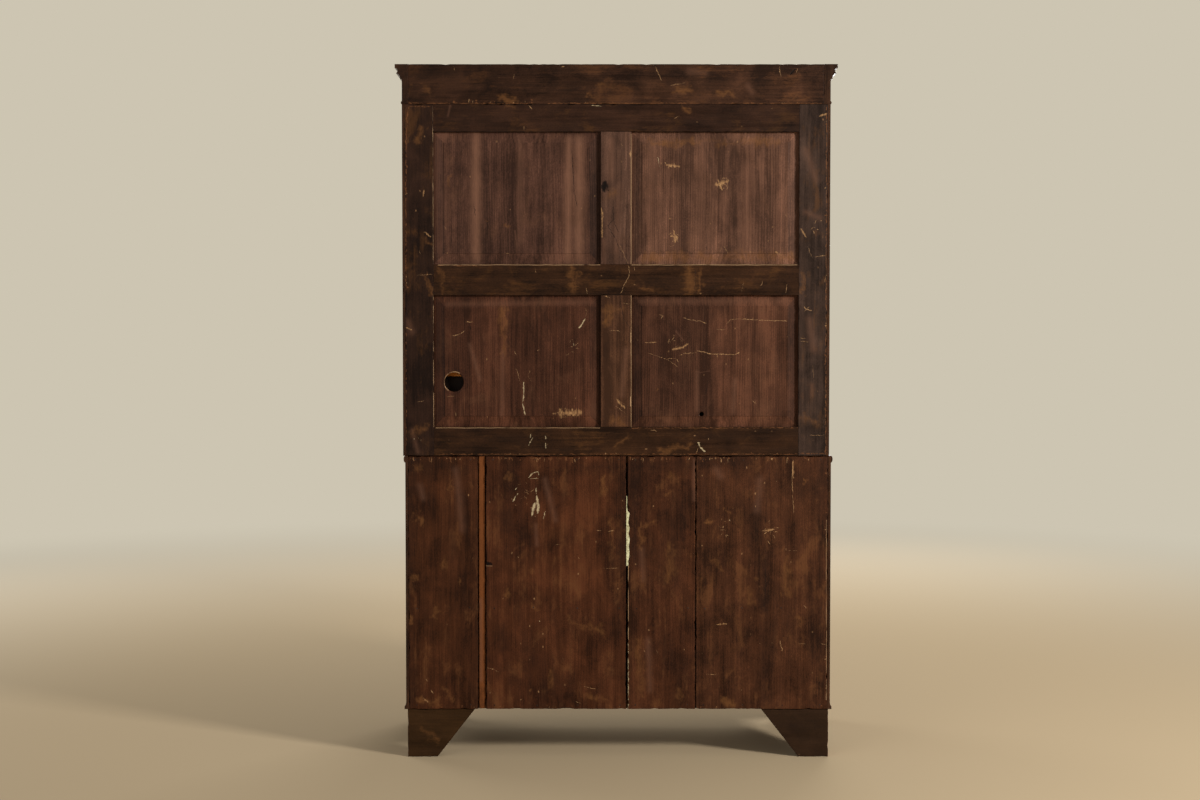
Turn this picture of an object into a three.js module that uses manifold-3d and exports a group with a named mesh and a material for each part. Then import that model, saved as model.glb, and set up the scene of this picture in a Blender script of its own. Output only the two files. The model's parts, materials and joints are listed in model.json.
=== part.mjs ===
// A linen press: a removable cornice, a cupboard with sliding trays and a chest of four drawers.
// Lengths are in millimetres. X runs across the front, Y from front to back and Z up from the floor.

import * as THREE from "three";
import { mergeVertices } from "three/addons/utils/BufferGeometryUtils.js";
import Module from "manifold-3d";

const wasm = await Module();
wasm.setup();

// Overall sizes
const WIDTH = 1280;
const DEPTH = 560;
const FOOT_HEIGHT = 146;
const LOWER_HEIGHT = 767;
const UPPER_HEIGHT = 1051;
const CORNICE_HEIGHT = 119;
const CUPBOARD_OFFSET = 6;

// Carcass boards
const SIDE_THICKNESS = 19;
const SHELF_THICKNESS = 19;
const LOWER_TOP_THICKNESS = 24;
const LOWER_BOTTOM_THICKNESS = 26;
const DUST_BOARD_THICKNESS = 20;
const PARTITION_THICKNESS = 20;
const BACK_LIP = 8;

// Cornice
const FRIEZE_THICKNESS = 19;
const CORNICE_BACK_THICKNESS = 18;
const CORNICE_TOP_THICKNESS = 12;
const CORNICE_PROJECTION = 21;
const CROWN_HEIGHT = 45;
const FRIEZE_BEAD_HEIGHT = 9;
const FRIEZE_BEAD_PROJECTION = 3;

// Waist and base mouldings
const WAIST_HEIGHT = 21;
const WAIST_PROJECTION = 5;
const BASE_HEIGHT = 24;
const BASE_PROJECTION = 5;

// Framed back of the cupboard
const BACK_FRAME_THICKNESS = 22;
const BACK_STILE_WIDTH = 85;
const BACK_TOP_RAIL_WIDTH = 82;
const BACK_MIDDLE_RAIL_WIDTH = 93;
const BACK_BOTTOM_RAIL_WIDTH = 87;
const BACK_MUNTIN_WIDTH = 92;
const LOWER_PANEL_HEIGHT = 394.5;
const BACK_TONGUE_SETBACK = 12;

// Panels and the grooves that hold them
const TONGUE_THICKNESS = 6;
const TONGUE_REACH = 8;
const GROOVE_DEPTH = 9;
const BEVEL_WIDTH = 32;
const BEVEL_RISE = 5.5;
const FIELD_STEP = 1.5;

// Holes for cables in the two lower panels
const CABLE_HOLE_RADIUS = 29;
const CABLE_HOLE_FROM_STILE = 60;
const CABLE_HOLE_ABOVE_RAIL = 134;
const WIRE_HOLE_RADIUS = 6.5;
const WIRE_HOLE_FROM_MUNTIN = 211;
const WIRE_HOLE_ABOVE_RAIL = 38;
const HOLE_CHAMFER = 2;

// Boarded back of the chest
const LOWER_BACK_THICKNESS = 14;
const STRIP_WIDTH = 19;
const STRIP_THICKNESS = 8;
const STRIP_GAP = 2.5;
const OPEN_JOINT = 5;
const TIGHT_JOINT = 2;
const BACK_BOARD_SHARES = [0.1703, 0.3423, 0.1655, 0.3219];

// Doors
const DOOR_THICKNESS = 21;
const DOOR_SEAT_GAP = 1;
const DOOR_MEETING_GAP = 3;
const DOOR_END_GAP = 2;
const DOOR_EDGE_SETBACK = 0.5;
const DOOR_STILE_WIDTH = 85;
const DOOR_RAIL_WIDTH = 90;
const DOOR_TONGUE_SETBACK = 5;
const DOOR_OVOLO = 6;
const DOOR_REST_ANGLE = Math.PI / 2;
const ASTRAGAL_WIDTH = 22;
const ASTRAGAL_PROJECTION = 6;
const ASTRAGAL_ROOT = 1;
const DOOR_KNOB_RADIUS = 14;
const DOOR_KNOB_PROJECTION = 24;

// Butt hinges
const HINGE_LENGTH = 76;
const HINGE_FROM_DOOR_END = 130;
const HINGE_LEAF_WIDTH = 17;
const HINGE_LEAF_THICKNESS = 1.8;
const HINGE_PIN_OVERHANG = 3.5;
const KNUCKLE_RADIUS = 5;
const KNUCKLE_GAP = 0.4;
const KNUCKLE_CLEARANCE = 0.5;
const PIN_RADIUS = 2.5;
const MIDDLE_KNUCKLE_SHARE = 0.36;

// Trays and their bearers
const TRAY_COUNT = 5;
const TRAY_PITCH = 168;
const TRAY_HEIGHT = 116;
const TRAY_FRONT_HEIGHT = 74;
const TRAY_WALL = 12;
const TRAY_FLOOR = 9;
const TRAY_SIDE_GAP = 1.5;
const TRAY_FRONT_SETBACK = 12;
const TRAY_BACK_GAP = 16;
const TRAY_SWEEP = 90;
const BEARER_WIDTH = 16;
const BEARER_HEIGHT = 20;
const BEARER_HOUSING = 3;
const BEARER_SETBACK = 14;

// Drawers
const BOTTOM_ROW_SHARE = 0.4;
const MIDDLE_ROW_SHARE = 0.33;
const DRAWER_FRONT_THICKNESS = 20;
const DRAWER_GAP = 1.5;
const DRAWER_SIDE_THICKNESS = 12;
const DRAWER_FLOOR_THICKNESS = 8;
const DRAWER_FLOOR_RAISE = 9;
const DRAWER_TOP_GAP = 9;
const DRAWER_BACK_GAP = 24;
const COCK_BEAD_WIDTH = 4;
const COCK_BEAD_PROJECTION = 3;
const DRAWER_KNOB_RADIUS = 21;
const DRAWER_KNOB_PROJECTION = 36;
const KNOB_ROOT = 3;
const LONG_DRAWER_KNOB_SHARE = 0.29;

// Bracket feet
const FOOT_SETBACK = 4;
const FOOT_THICKNESS = 20;
const FOOT_TOP_WIDTH = 204;
const FOOT_BOTTOM_WIDTH = 90;
const GLUE_BLOCK = 34;
const GLUE_BLOCK_LIFT = 6;

// Fits and fineness
const FIT = 0.3;
const OVERRUN = 3;
const ROUND_STEPS = 32;
const SMALL_ROUND_STEPS = 20;
const CURVE_STEPS = 6;

// Outlines as shares of the sizes they follow, hand chosen
const CROWN_SHARES = {
  fillet: 0.24,
  beadNose: [0.81, 0.38],
  beadTop: [0.6, 0.52],
  coveTop: [0.92, 0.74],
};
const KNOB_OUTLINE_SHARES = [
  [0.55, 0],
  [0.5, 0.1],
  [0.42, 0.34],
  [0.72, 0.46],
  [0.96, 0.62],
  [1, 0.76],
  [0.86, 0.91],
  [0.48, 0.99],
];
const BRACKET_SHARES = {
  ankle: [0.04, 0.34],
  knee: [0.34, 0.58],
  lobe: [0.56, 0.6],
  lobeEnd: [0.8, 0.8],
};

// Places that several pieces share
const back = DEPTH / 2;
const front = -back;
const halfWidth = WIDTH / 2;
const insideHalf = halfWidth - SIDE_THICKNESS;
const backHalf = halfWidth - BACK_LIP;
const lowerBase = FOOT_HEIGHT;
const lowerTop = lowerBase + LOWER_HEIGHT;
const upperTop = lowerTop + UPPER_HEIGHT;
const pressTop = upperTop + CORNICE_HEIGHT;
const doorBack = front + DOOR_THICKNESS;
const upperFront = doorBack + DOOR_SEAT_GAP;
const upperFloor = lowerTop + SHELF_THICKNESS;
const backFrameInner = back - BACK_FRAME_THICKNESS;
const lowerBackInner = back - LOWER_BACK_THICKNESS;
const pinReach = halfWidth + HINGE_PIN_OVERHANG;
const pinY = upperFront - DOOR_SEAT_GAP / 2;
const doorBottom = lowerTop + DOOR_END_GAP;
const doorTop = upperTop - DOOR_END_GAP;

// Finishes
const finish = (color, roughness, metalness = 0) =>
  new THREE.MeshStandardMaterial({ color, roughness, metalness, flatShading: true });
const carcassWood = finish(0x3a281c, 0.55);
const panelWood = finish(0x4b3227, 0.5);
const corniceWood = finish(0x402b1e, 0.55);
const rawBoardWood = finish(0x3c2416, 0.75);
const stripWood = finish(0x73412a, 0.7);
const showWood = finish(0x5a2e1b, 0.35);
const liningWood = finish(0x6b4a30, 0.65);
const brass = finish(0xa8843f, 0.35, 1);

// A closed three.js geometry as a solid that can be cut and joined.
function solidOf(geometry) {
  const bare = geometry.clone();
  bare.deleteAttribute("normal");
  bare.deleteAttribute("uv");
  const merged = mergeVertices(bare);
  return new wasm.Manifold(new wasm.Mesh({
    numProp: 3,
    vertProperties: new Float32Array(merged.attributes.position.array),
    triVerts: new Uint32Array(merged.index.array),
  }));
}

function geometryOf(solid) {
  const mesh = solid.getMesh();
  const geometry = new THREE.BufferGeometry();
  geometry.setAttribute("position", new THREE.BufferAttribute(mesh.vertProperties, 3));
  geometry.setIndex(new THREE.BufferAttribute(mesh.triVerts, 1));
  return geometry;
}

// A box between two values on each axis, given in either order.
function box(x0, x1, y0, y1, z0, z1) {
  const geometry = new THREE.BoxGeometry(1, 1, 1);
  const position = geometry.attributes.position;
  for (let i = 0; i < position.count; i += 1) {
    position.setXYZ(
      i,
      position.getX(i) < 0 ? Math.min(x0, x1) : Math.max(x0, x1),
      position.getY(i) < 0 ? Math.min(y0, y1) : Math.max(y0, y1),
      position.getZ(i) < 0 ? Math.min(z0, z1) : Math.max(z0, z1),
    );
  }
  return solidOf(geometry);
}

// A shape drawn in X and Z, pushed through Y.
function prismY(shape, y0, y1) {
  const geometry = new THREE.ExtrudeGeometry(shape, {
    depth: y1 - y0,
    bevelEnabled: false,
    curveSegments: CURVE_STEPS,
  });
  geometry.rotateX(Math.PI / 2);
  geometry.translate(0, y1, 0);
  return solidOf(geometry);
}

// A shape drawn in Y and Z, pushed through X.
function prismX(shape, x0, x1) {
  const geometry = new THREE.ExtrudeGeometry(shape, {
    depth: x1 - x0,
    bevelEnabled: false,
    curveSegments: CURVE_STEPS,
  });
  const turn = new THREE.Matrix4().makeBasis(
    new THREE.Vector3(0, 1, 0),
    new THREE.Vector3(0, 0, 1),
    new THREE.Vector3(1, 0, 0),
  );
  geometry.applyMatrix4(turn);
  geometry.translate(x0, 0, 0);
  return solidOf(geometry);
}

function prismZ(shape, z0, z1) {
  const geometry = new THREE.ExtrudeGeometry(shape, {
    depth: z1 - z0,
    bevelEnabled: false,
    curveSegments: CURVE_STEPS,
  });
  geometry.translate(0, 0, z0);
  return solidOf(geometry);
}

function rodY(x, z, y0, y1, radiusLow, radiusHigh, steps) {
  const geometry = new THREE.CylinderGeometry(radiusHigh, radiusLow, y1 - y0, steps);
  geometry.translate(x, (y0 + y1) / 2, z);
  return solidOf(geometry);
}

function rodZ(x, y, z0, z1, radius) {
  const geometry = new THREE.CylinderGeometry(radius, radius, z1 - z0, SMALL_ROUND_STEPS);
  geometry.rotateX(Math.PI / 2);
  geometry.translate(x, y, (z0 + z1) / 2);
  return solidOf(geometry);
}

// Rectangles set one behind the other along Y and joined, each given as half width, half height and y.
function rectangleLoft(centreX, centreZ, rings) {
  const ordered = rings[0][2] < rings[rings.length - 1][2] ? rings : [...rings].reverse();
  const positions = [];
  for (const [halfX, halfZ, y] of ordered) {
    positions.push(centreX - halfX, y, centreZ - halfZ);
    positions.push(centreX + halfX, y, centreZ - halfZ);
    positions.push(centreX + halfX, y, centreZ + halfZ);
    positions.push(centreX - halfX, y, centreZ + halfZ);
  }
  const index = [0, 1, 2, 0, 2, 3];
  for (let ring = 0; ring + 1 < ordered.length; ring += 1) {
    for (let corner = 0; corner < 4; corner += 1) {
      const a = ring * 4 + corner;
      const b = ring * 4 + ((corner + 1) % 4);
      index.push(a, b + 4, b, a, a + 4, b + 4);
    }
  }
  const last = (ordered.length - 1) * 4;
  index.push(last, last + 2, last + 1, last, last + 3, last + 2);
  const geometry = new THREE.BufferGeometry();
  geometry.setAttribute("position", new THREE.Float32BufferAttribute(positions, 3));
  geometry.setIndex(index);
  return solidOf(geometry);
}

// A moulding that runs up one side, across the front and back down the other, mitred at both corners.
// Its outline is drawn counter-clockwise, with x as the distance out from the carcass and y as the height.
function surround(outline, halfX, frontY, backY) {
  const points = outline.getPoints(CURVE_STEPS).slice(0, -1);
  const positions = [];
  for (const point of points) {
    const reach = halfX + point.x;
    positions.push(-reach, backY, point.y);
    positions.push(-reach, frontY - point.x, point.y);
    positions.push(reach, frontY - point.x, point.y);
    positions.push(reach, backY, point.y);
  }
  const index = [];
  for (let i = 0; i < points.length; i += 1) {
    const next = (i + 1) % points.length;
    for (let leg = 0; leg < 3; leg += 1) {
      const a = i * 4 + leg;
      const d = next * 4 + leg;
      index.push(a, a + 1, d + 1, a, d + 1, d);
    }
  }
  for (const [a, b, c] of THREE.ShapeUtils.triangulateShape(points, [])) {
    index.push(a * 4, b * 4, c * 4);
    index.push(a * 4 + 3, c * 4 + 3, b * 4 + 3);
  }
  const geometry = new THREE.BufferGeometry();
  geometry.setAttribute("position", new THREE.Float32BufferAttribute(positions, 3));
  geometry.setIndex(index);
  return solidOf(geometry);
}

// The cupboard and its cornice stand a few millimetres off the middle of the chest below them.
const press = new THREE.Group();
const chest = new THREE.Group();
chest.position.x = -CUPBOARD_OFFSET;
press.add(chest);

function addPiece(name, solid, material, parent = press) {
  const mesh = new THREE.Mesh(geometryOf(solid), material);
  mesh.name = name;
  parent.add(mesh);
  return mesh;
}

// Cornice: frieze and crown moulding in one mitred frame, a plain back board and a top board
function corniceOutline() {
  const crownBase = pressTop - CROWN_HEIGHT;
  const out = (share) => share * CORNICE_PROJECTION;
  const up = (share) => crownBase + share * CROWN_HEIGHT;
  const beadMiddle = upperTop + FRIEZE_BEAD_HEIGHT / 2;
  const outline = new THREE.Shape();
  outline.moveTo(-FRIEZE_THICKNESS, upperTop);
  outline.lineTo(0, upperTop);
  outline.absellipse(
    0, beadMiddle, FRIEZE_BEAD_PROJECTION, FRIEZE_BEAD_HEIGHT / 2, -Math.PI / 2, Math.PI / 2, false,
  );
  outline.lineTo(0, crownBase);
  outline.lineTo(out(CROWN_SHARES.fillet), crownBase);
  outline.quadraticCurveTo(
    out(CROWN_SHARES.fillet), up(CROWN_SHARES.beadNose[1]),
    out(CROWN_SHARES.beadNose[0]), up(CROWN_SHARES.beadNose[1]),
  );
  outline.lineTo(out(CROWN_SHARES.beadTop[0]), up(CROWN_SHARES.beadTop[1]));
  outline.quadraticCurveTo(
    out(CROWN_SHARES.beadTop[0]), up(CROWN_SHARES.coveTop[1]),
    out(CROWN_SHARES.coveTop[0]), up(CROWN_SHARES.coveTop[1]),
  );
  outline.lineTo(CORNICE_PROJECTION, up(CROWN_SHARES.coveTop[1]));
  outline.lineTo(CORNICE_PROJECTION, pressTop);
  outline.lineTo(-FRIEZE_THICKNESS, pressTop);
  outline.closePath();
  return outline;
}

function addCornice() {
  const inside = halfWidth - FRIEZE_THICKNESS;
  const backInner = back - CORNICE_BACK_THICKNESS;
  const topBase = pressTop - CORNICE_TOP_THICKNESS;
  addPiece("cornice_frame", surround(corniceOutline(), halfWidth, front, back), corniceWood);
  addPiece("cornice_back_board", box(-inside, inside, backInner, back, upperTop, pressTop), corniceWood);
  addPiece(
    "cornice_top_board",
    box(-inside, inside, front + FRIEZE_THICKNESS, backInner, topBase, pressTop),
    corniceWood,
  );
}

// Trays rest one pitch apart, the lowest on the cupboard floor and the others on bearers.
const trayBase = (index) => upperFloor + FIT + index * TRAY_PITCH;

const hingeCentres = [doorBottom + HINGE_FROM_DOOR_END, doorTop - HINGE_FROM_DOOR_END];
const hingeHalf = HINGE_LENGTH / 2;
const leafReach = pinReach - HINGE_LEAF_WIDTH;
const plateEdge = pinReach - KNUCKLE_RADIUS - KNUCKLE_CLEARANCE;

// The room that a hinge takes up around its pin, cut out of the side and the door alike.
function knuckleRoom(side, centreZ) {
  const reach = hingeHalf + KNUCKLE_CLEARANCE;
  return rodZ(side * pinReach, pinY, centreZ - reach, centreZ + reach, KNUCKLE_RADIUS + KNUCKLE_CLEARANCE);
}

// The shallow seat of one leaf, open towards the pin.
function leafSeat(side, centreZ, surfaceY, inwardY) {
  const reach = hingeHalf + FIT;
  const depth = HINGE_LEAF_THICKNESS + FIT;
  return box(
    side * (leafReach - FIT), side * (halfWidth + OVERRUN),
    surfaceY - inwardY * OVERRUN, surfaceY + inwardY * depth,
    centreZ - reach, centreZ + reach,
  );
}

function upperSide(side) {
  let solid = box(side * insideHalf, side * halfWidth, upperFront, back, lowerTop, upperTop);
  solid = solid.subtract(box(
    side * (insideHalf - OVERRUN), side * backHalf,
    backFrameInner, back + OVERRUN,
    lowerTop - OVERRUN, upperTop + OVERRUN,
  ));
  for (let index = 1; index < TRAY_COUNT; index += 1) {
    const bearerTop = trayBase(index) - FIT;
    solid = solid.add(box(
      side * (insideHalf - BEARER_WIDTH), side * (insideHalf + BEARER_HOUSING),
      upperFront + BEARER_SETBACK, backFrameInner - FIT,
      bearerTop - BEARER_HEIGHT, bearerTop,
    ));
  }
  for (const centreZ of hingeCentres) {
    solid = solid.subtract(leafSeat(side, centreZ, upperFront, 1));
    solid = solid.subtract(knuckleRoom(side, centreZ));
  }
  return solid;
}

function addUpperCarcass() {
  addPiece("upper_left_side", upperSide(-1), carcassWood);
  addPiece("upper_right_side", upperSide(1), carcassWood);
  addPiece(
    "upper_bottom_board",
    box(-insideHalf, insideHalf, upperFront, backFrameInner, lowerTop, upperFloor),
    carcassWood,
  );
  addPiece(
    "upper_top_board",
    box(-insideHalf, insideHalf, upperFront, backFrameInner, upperTop - SHELF_THICKNESS, upperTop),
    carcassWood,
  );
}

// Framed back: grooved stiles and rails, stub tenons in the grooves and four fielded panels
const tongueOuter = back - BACK_TONGUE_SETBACK;
const tongueInner = tongueOuter - TONGUE_THICKNESS;
const stileInner = backHalf - BACK_STILE_WIDTH;
const muntinHalf = BACK_MUNTIN_WIDTH / 2;
const bottomRailTop = lowerTop + BACK_BOTTOM_RAIL_WIDTH;
const middleRailBase = bottomRailTop + LOWER_PANEL_HEIGHT;
const middleRailTop = middleRailBase + BACK_MIDDLE_RAIL_WIDTH;
const topRailBase = upperTop - BACK_TOP_RAIL_WIDTH;

function backGroove(x0, x1, z0, z1) {
  return box(x0, x1, tongueInner - FIT, tongueOuter + FIT, z0, z1);
}

function backStile(side) {
  const stile = box(side * stileInner, side * backHalf, backFrameInner, back, lowerTop, upperTop);
  const groove = backGroove(
    side * (stileInner - OVERRUN), side * (stileInner + GROOVE_DEPTH),
    lowerTop - OVERRUN, upperTop + OVERRUN,
  );
  return stile.subtract(groove);
}

function backRail(z0, z1, groovedBelow, groovedAbove) {
  const tenonHalf = stileInner + TONGUE_REACH;
  const grooveHalf = tenonHalf + OVERRUN;
  let rail = box(-stileInner, stileInner, backFrameInner, back, z0, z1);
  rail = rail.add(box(-tenonHalf, tenonHalf, tongueInner, tongueOuter, z0, z1));
  if (groovedBelow) {
    rail = rail.subtract(backGroove(-grooveHalf, grooveHalf, z0 - OVERRUN, z0 + GROOVE_DEPTH));
  }
  if (groovedAbove) {
    rail = rail.subtract(backGroove(-grooveHalf, grooveHalf, z1 - GROOVE_DEPTH, z1 + OVERRUN));
  }
  return rail;
}

function backMuntin(z0, z1) {
  const tenonBase = z0 - TONGUE_REACH;
  const tenonTop = z1 + TONGUE_REACH;
  let muntin = box(-muntinHalf, muntinHalf, backFrameInner, back, z0, z1);
  muntin = muntin.add(box(-muntinHalf, muntinHalf, tongueInner, tongueOuter, tenonBase, tenonTop));
  for (const side of [-1, 1]) {
    muntin = muntin.subtract(backGroove(
      side * (muntinHalf - GROOVE_DEPTH), side * (muntinHalf + OVERRUN),
      tenonBase - OVERRUN, tenonTop + OVERRUN,
    ));
  }
  return muntin;
}

// A panel with a raised field on one face: towards the back where outward is 1, the front where it is -1.
function fieldedPanel(centreX, centreZ, halfX, halfZ, innerY, outward) {
  const tongueY = innerY + outward * TONGUE_THICKNESS;
  const bevelY = tongueY + outward * BEVEL_RISE;
  const fieldX = halfX - BEVEL_WIDTH;
  const fieldZ = halfZ - BEVEL_WIDTH;
  return rectangleLoft(centreX, centreZ, [
    [halfX + TONGUE_REACH, halfZ + TONGUE_REACH, innerY],
    [halfX + TONGUE_REACH, halfZ + TONGUE_REACH, tongueY],
    [halfX, halfZ, tongueY],
    [fieldX, fieldZ, bevelY],
    [fieldX, fieldZ, bevelY + outward * FIELD_STEP],
  ]);
}

// A round hole through a panel, its rim worn to a small chamfer at the back.
function drill(panel, x, z, radius) {
  const fieldY = tongueOuter + BEVEL_RISE + FIELD_STEP;
  const through = rodY(x, z, backFrameInner, back, radius, radius, ROUND_STEPS);
  const rim = rodY(
    x, z, fieldY - HOLE_CHAMFER, fieldY + HOLE_CHAMFER, radius, radius + 2 * HOLE_CHAMFER, ROUND_STEPS,
  );
  return panel.subtract(through).subtract(rim);
}

function addFramedBack() {
  addPiece("back_left_stile", backStile(-1), carcassWood);
  addPiece("back_right_stile", backStile(1), carcassWood);
  addPiece("back_bottom_rail", backRail(lowerTop, bottomRailTop, false, true), carcassWood);
  addPiece("back_middle_rail", backRail(middleRailBase, middleRailTop, true, true), carcassWood);
  addPiece("back_top_rail", backRail(topRailBase, upperTop, true, false), carcassWood);
  addPiece("back_lower_muntin", backMuntin(bottomRailTop, middleRailBase), carcassWood);
  addPiece("back_upper_muntin", backMuntin(middleRailTop, topRailBase), carcassWood);

  const centreX = (muntinHalf + stileInner) / 2;
  const halfX = (stileInner - muntinHalf) / 2;
  for (const [level, z0, z1] of [["lower", bottomRailTop, middleRailBase], ["upper", middleRailTop, topRailBase]]) {
    for (const [hand, side] of [["left", -1], ["right", 1]]) {
      let panel = fieldedPanel(side * centreX, (z0 + z1) / 2, halfX, (z1 - z0) / 2, tongueInner, 1);
      if (level === "lower" && side > 0) {
        panel = drill(
          panel, stileInner - CABLE_HOLE_FROM_STILE, z0 + CABLE_HOLE_ABOVE_RAIL, CABLE_HOLE_RADIUS,
        );
      }
      if (level === "lower" && side < 0) {
        panel = drill(panel, -muntinHalf - WIRE_HOLE_FROM_MUNTIN, z0 + WIRE_HOLE_ABOVE_RAIL, WIRE_HOLE_RADIUS);
      }
      addPiece(`back_panel_${level}_${hand}`, panel, panelWood);
    }
  }
}

// A turned knob that points to the front, rooted a little inside the surface that carries it.
function knob(x, surfaceY, z, radius, projection) {
  const outline = [new THREE.Vector2(0, -KNOB_ROOT)];
  outline.push(new THREE.Vector2(KNOB_OUTLINE_SHARES[0][0] * radius, -KNOB_ROOT));
  for (const [radiusShare, lengthShare] of KNOB_OUTLINE_SHARES) {
    outline.push(new THREE.Vector2(radiusShare * radius, lengthShare * projection));
  }
  outline.push(new THREE.Vector2(0, projection));
  const geometry = new THREE.LatheGeometry(outline, SMALL_ROUND_STEPS);
  geometry.rotateX(Math.PI);
  geometry.translate(x, surfaceY, z);
  return solidOf(geometry);
}

// Doors, drawn closed and turned about their hinge pins
function doorFrame(side) {
  const outerX = halfWidth - DOOR_EDGE_SETBACK;
  const innerX = DOOR_MEETING_GAP / 2;
  const centreX = (outerX + innerX) / 2;
  const centreZ = (doorBottom + doorTop) / 2;
  const sightX = (outerX - innerX) / 2 - DOOR_STILE_WIDTH;
  const sightZ = (doorTop - doorBottom) / 2 - DOOR_RAIL_WIDTH;
  const tongueBack = doorBack - DOOR_TONGUE_SETBACK;
  const tongueFront = tongueBack - TONGUE_THICKNESS;

  let frame = box(side * innerX, side * outerX, front, doorBack, doorBottom, doorTop);
  frame = frame.subtract(rectangleLoft(side * centreX, centreZ, [
    [sightX, sightZ, doorBack + OVERRUN],
    [sightX, sightZ, front - OVERRUN],
  ]));
  frame = frame.subtract(rectangleLoft(side * centreX, centreZ, [
    [sightX + GROOVE_DEPTH, sightZ + GROOVE_DEPTH, tongueBack + FIT],
    [sightX + GROOVE_DEPTH, sightZ + GROOVE_DEPTH, tongueFront - FIT],
  ]));
  const ovolo = [[sightX + DOOR_OVOLO, sightZ + DOOR_OVOLO, front - OVERRUN]];
  for (let step = 0; step <= CURVE_STEPS; step += 1) {
    const angle = (step / CURVE_STEPS) * (Math.PI / 2);
    const spread = DOOR_OVOLO * Math.cos(angle);
    ovolo.push([sightX + spread, sightZ + spread, front + DOOR_OVOLO * Math.sin(angle)]);
  }
  frame = frame.subtract(rectangleLoft(side * centreX, centreZ, ovolo));
  for (const hingeZ of hingeCentres) {
    frame = frame.subtract(leafSeat(side, hingeZ, doorBack, -1));
    frame = frame.subtract(knuckleRoom(side, hingeZ));
  }
  const knobX = innerX + DOOR_STILE_WIDTH / 2;
  frame = frame.add(knob(side * knobX, front, centreZ, DOOR_KNOB_RADIUS, DOOR_KNOB_PROJECTION));

  const panel = fieldedPanel(side * centreX, centreZ, sightX, sightZ, tongueBack, -1);
  return { frame, panel };
}

// The half-round bead that covers the gap between the doors, glued to the right-hand door.
function astragal() {
  const half = ASTRAGAL_WIDTH / 2;
  const beadBack = front - FIT;
  const outline = new THREE.Shape();
  outline.moveTo(half, beadBack);
  outline.absellipse(0, beadBack, half, ASTRAGAL_PROJECTION - FIT, 0, -Math.PI, true);
  outline.closePath();
  const bead = prismZ(outline, doorBottom, doorTop);
  const root = box(DOOR_MEETING_GAP / 2, half, beadBack - ASTRAGAL_ROOT, front + ASTRAGAL_ROOT, doorBottom, doorTop);
  return bead.add(root);
}

const middleKnuckleHalf = (HINGE_LENGTH * MIDDLE_KNUCKLE_SHARE) / 2;

// One leaf plate: full width short of the knuckles, and out to the pin over the leaf's own knuckles.
function leafPlate(side, centreZ, y0, y1, ownKnuckles) {
  let plate = box(side * leafReach, side * plateEdge, y0, y1, centreZ - hingeHalf, centreZ + hingeHalf);
  for (const [low, high] of ownKnuckles) {
    plate = plate.add(box(side * (plateEdge - OVERRUN), side * pinReach, y0, y1, centreZ + low, centreZ + high));
    plate = plate.add(rodZ(side * pinReach, pinY, centreZ + low, centreZ + high, KNUCKLE_RADIUS));
  }
  return plate;
}

function carcassLeaf(side, centreZ) {
  const inner = middleKnuckleHalf + KNUCKLE_GAP;
  const knuckles = [[-hingeHalf, -inner], [inner, hingeHalf]];
  const plate = leafPlate(side, centreZ, upperFront, upperFront + HINGE_LEAF_THICKNESS, knuckles);
  return plate.add(rodZ(side * pinReach, pinY, centreZ - hingeHalf, centreZ + hingeHalf, PIN_RADIUS));
}

function doorLeaf(side, centreZ) {
  const knuckles = [[-middleKnuckleHalf, middleKnuckleHalf]];
  const plate = leafPlate(side, centreZ, doorBack - HINGE_LEAF_THICKNESS, doorBack, knuckles);
  const reach = middleKnuckleHalf + OVERRUN;
  return plate.subtract(rodZ(side * pinReach, pinY, centreZ - reach, centreZ + reach, PIN_RADIUS + FIT));
}

function addDoors() {
  for (const [hand, side] of [["left", -1], ["right", 1]]) {
    const door = new THREE.Group();
    door.position.set(side * pinReach, pinY, 0);
    door.rotation.z = side * DOOR_REST_ANGLE;
    press.add(door);
    const { frame, panel } = doorFrame(side);
    const pieces = [
      [`${hand}_door_frame`, side > 0 ? frame.add(astragal()) : frame, showWood],
      [`${hand}_door_panel`, panel, showWood],
    ];
    for (const [level, centreZ] of [["lower", hingeCentres[0]], ["upper", hingeCentres[1]]]) {
      pieces.push([`${hand}_${level}_hinge_door_leaf`, doorLeaf(side, centreZ), brass]);
      addPiece(`${hand}_${level}_hinge_carcass_leaf`, carcassLeaf(side, centreZ), brass);
    }
    for (const [name, solid, material] of pieces) {
      addPiece(name, solid, material, door).position.set(-side * pinReach, -pinY, 0);
    }
  }
}

// Sliding trays, with sides that sweep down to a low front
function tray(base) {
  const half = insideHalf - TRAY_SIDE_GAP;
  const trayFront = upperFront + TRAY_FRONT_SETBACK;
  const trayBack = backFrameInner - TRAY_BACK_GAP;
  const top = base + TRAY_HEIGHT;
  const lip = base + TRAY_FRONT_HEIGHT;
  const body = box(-half, half, trayFront, trayBack, base, top);
  const hollow = box(
    -half + TRAY_WALL, half - TRAY_WALL,
    trayFront + TRAY_WALL, trayBack - TRAY_WALL,
    base + TRAY_FLOOR, top + OVERRUN,
  );
  const sweep = new THREE.Shape();
  sweep.moveTo(trayFront - OVERRUN, lip);
  sweep.lineTo(trayFront + TRAY_WALL, lip);
  sweep.bezierCurveTo(
    trayFront + TRAY_WALL + TRAY_SWEEP / 2, lip,
    trayFront + TRAY_SWEEP / 2, top,
    trayFront + TRAY_WALL + TRAY_SWEEP, top,
  );
  sweep.lineTo(trayFront + TRAY_WALL + TRAY_SWEEP, top + OVERRUN);
  sweep.lineTo(trayFront - OVERRUN, top + OVERRUN);
  sweep.closePath();
  return body.subtract(hollow).subtract(prismX(sweep, -half - OVERRUN, half + OVERRUN));
}

function addTrays() {
  for (let index = 0; index < TRAY_COUNT; index += 1) {
    addPiece(`linen_tray_${index + 1}`, tray(trayBase(index)), liningWood);
  }
}

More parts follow.
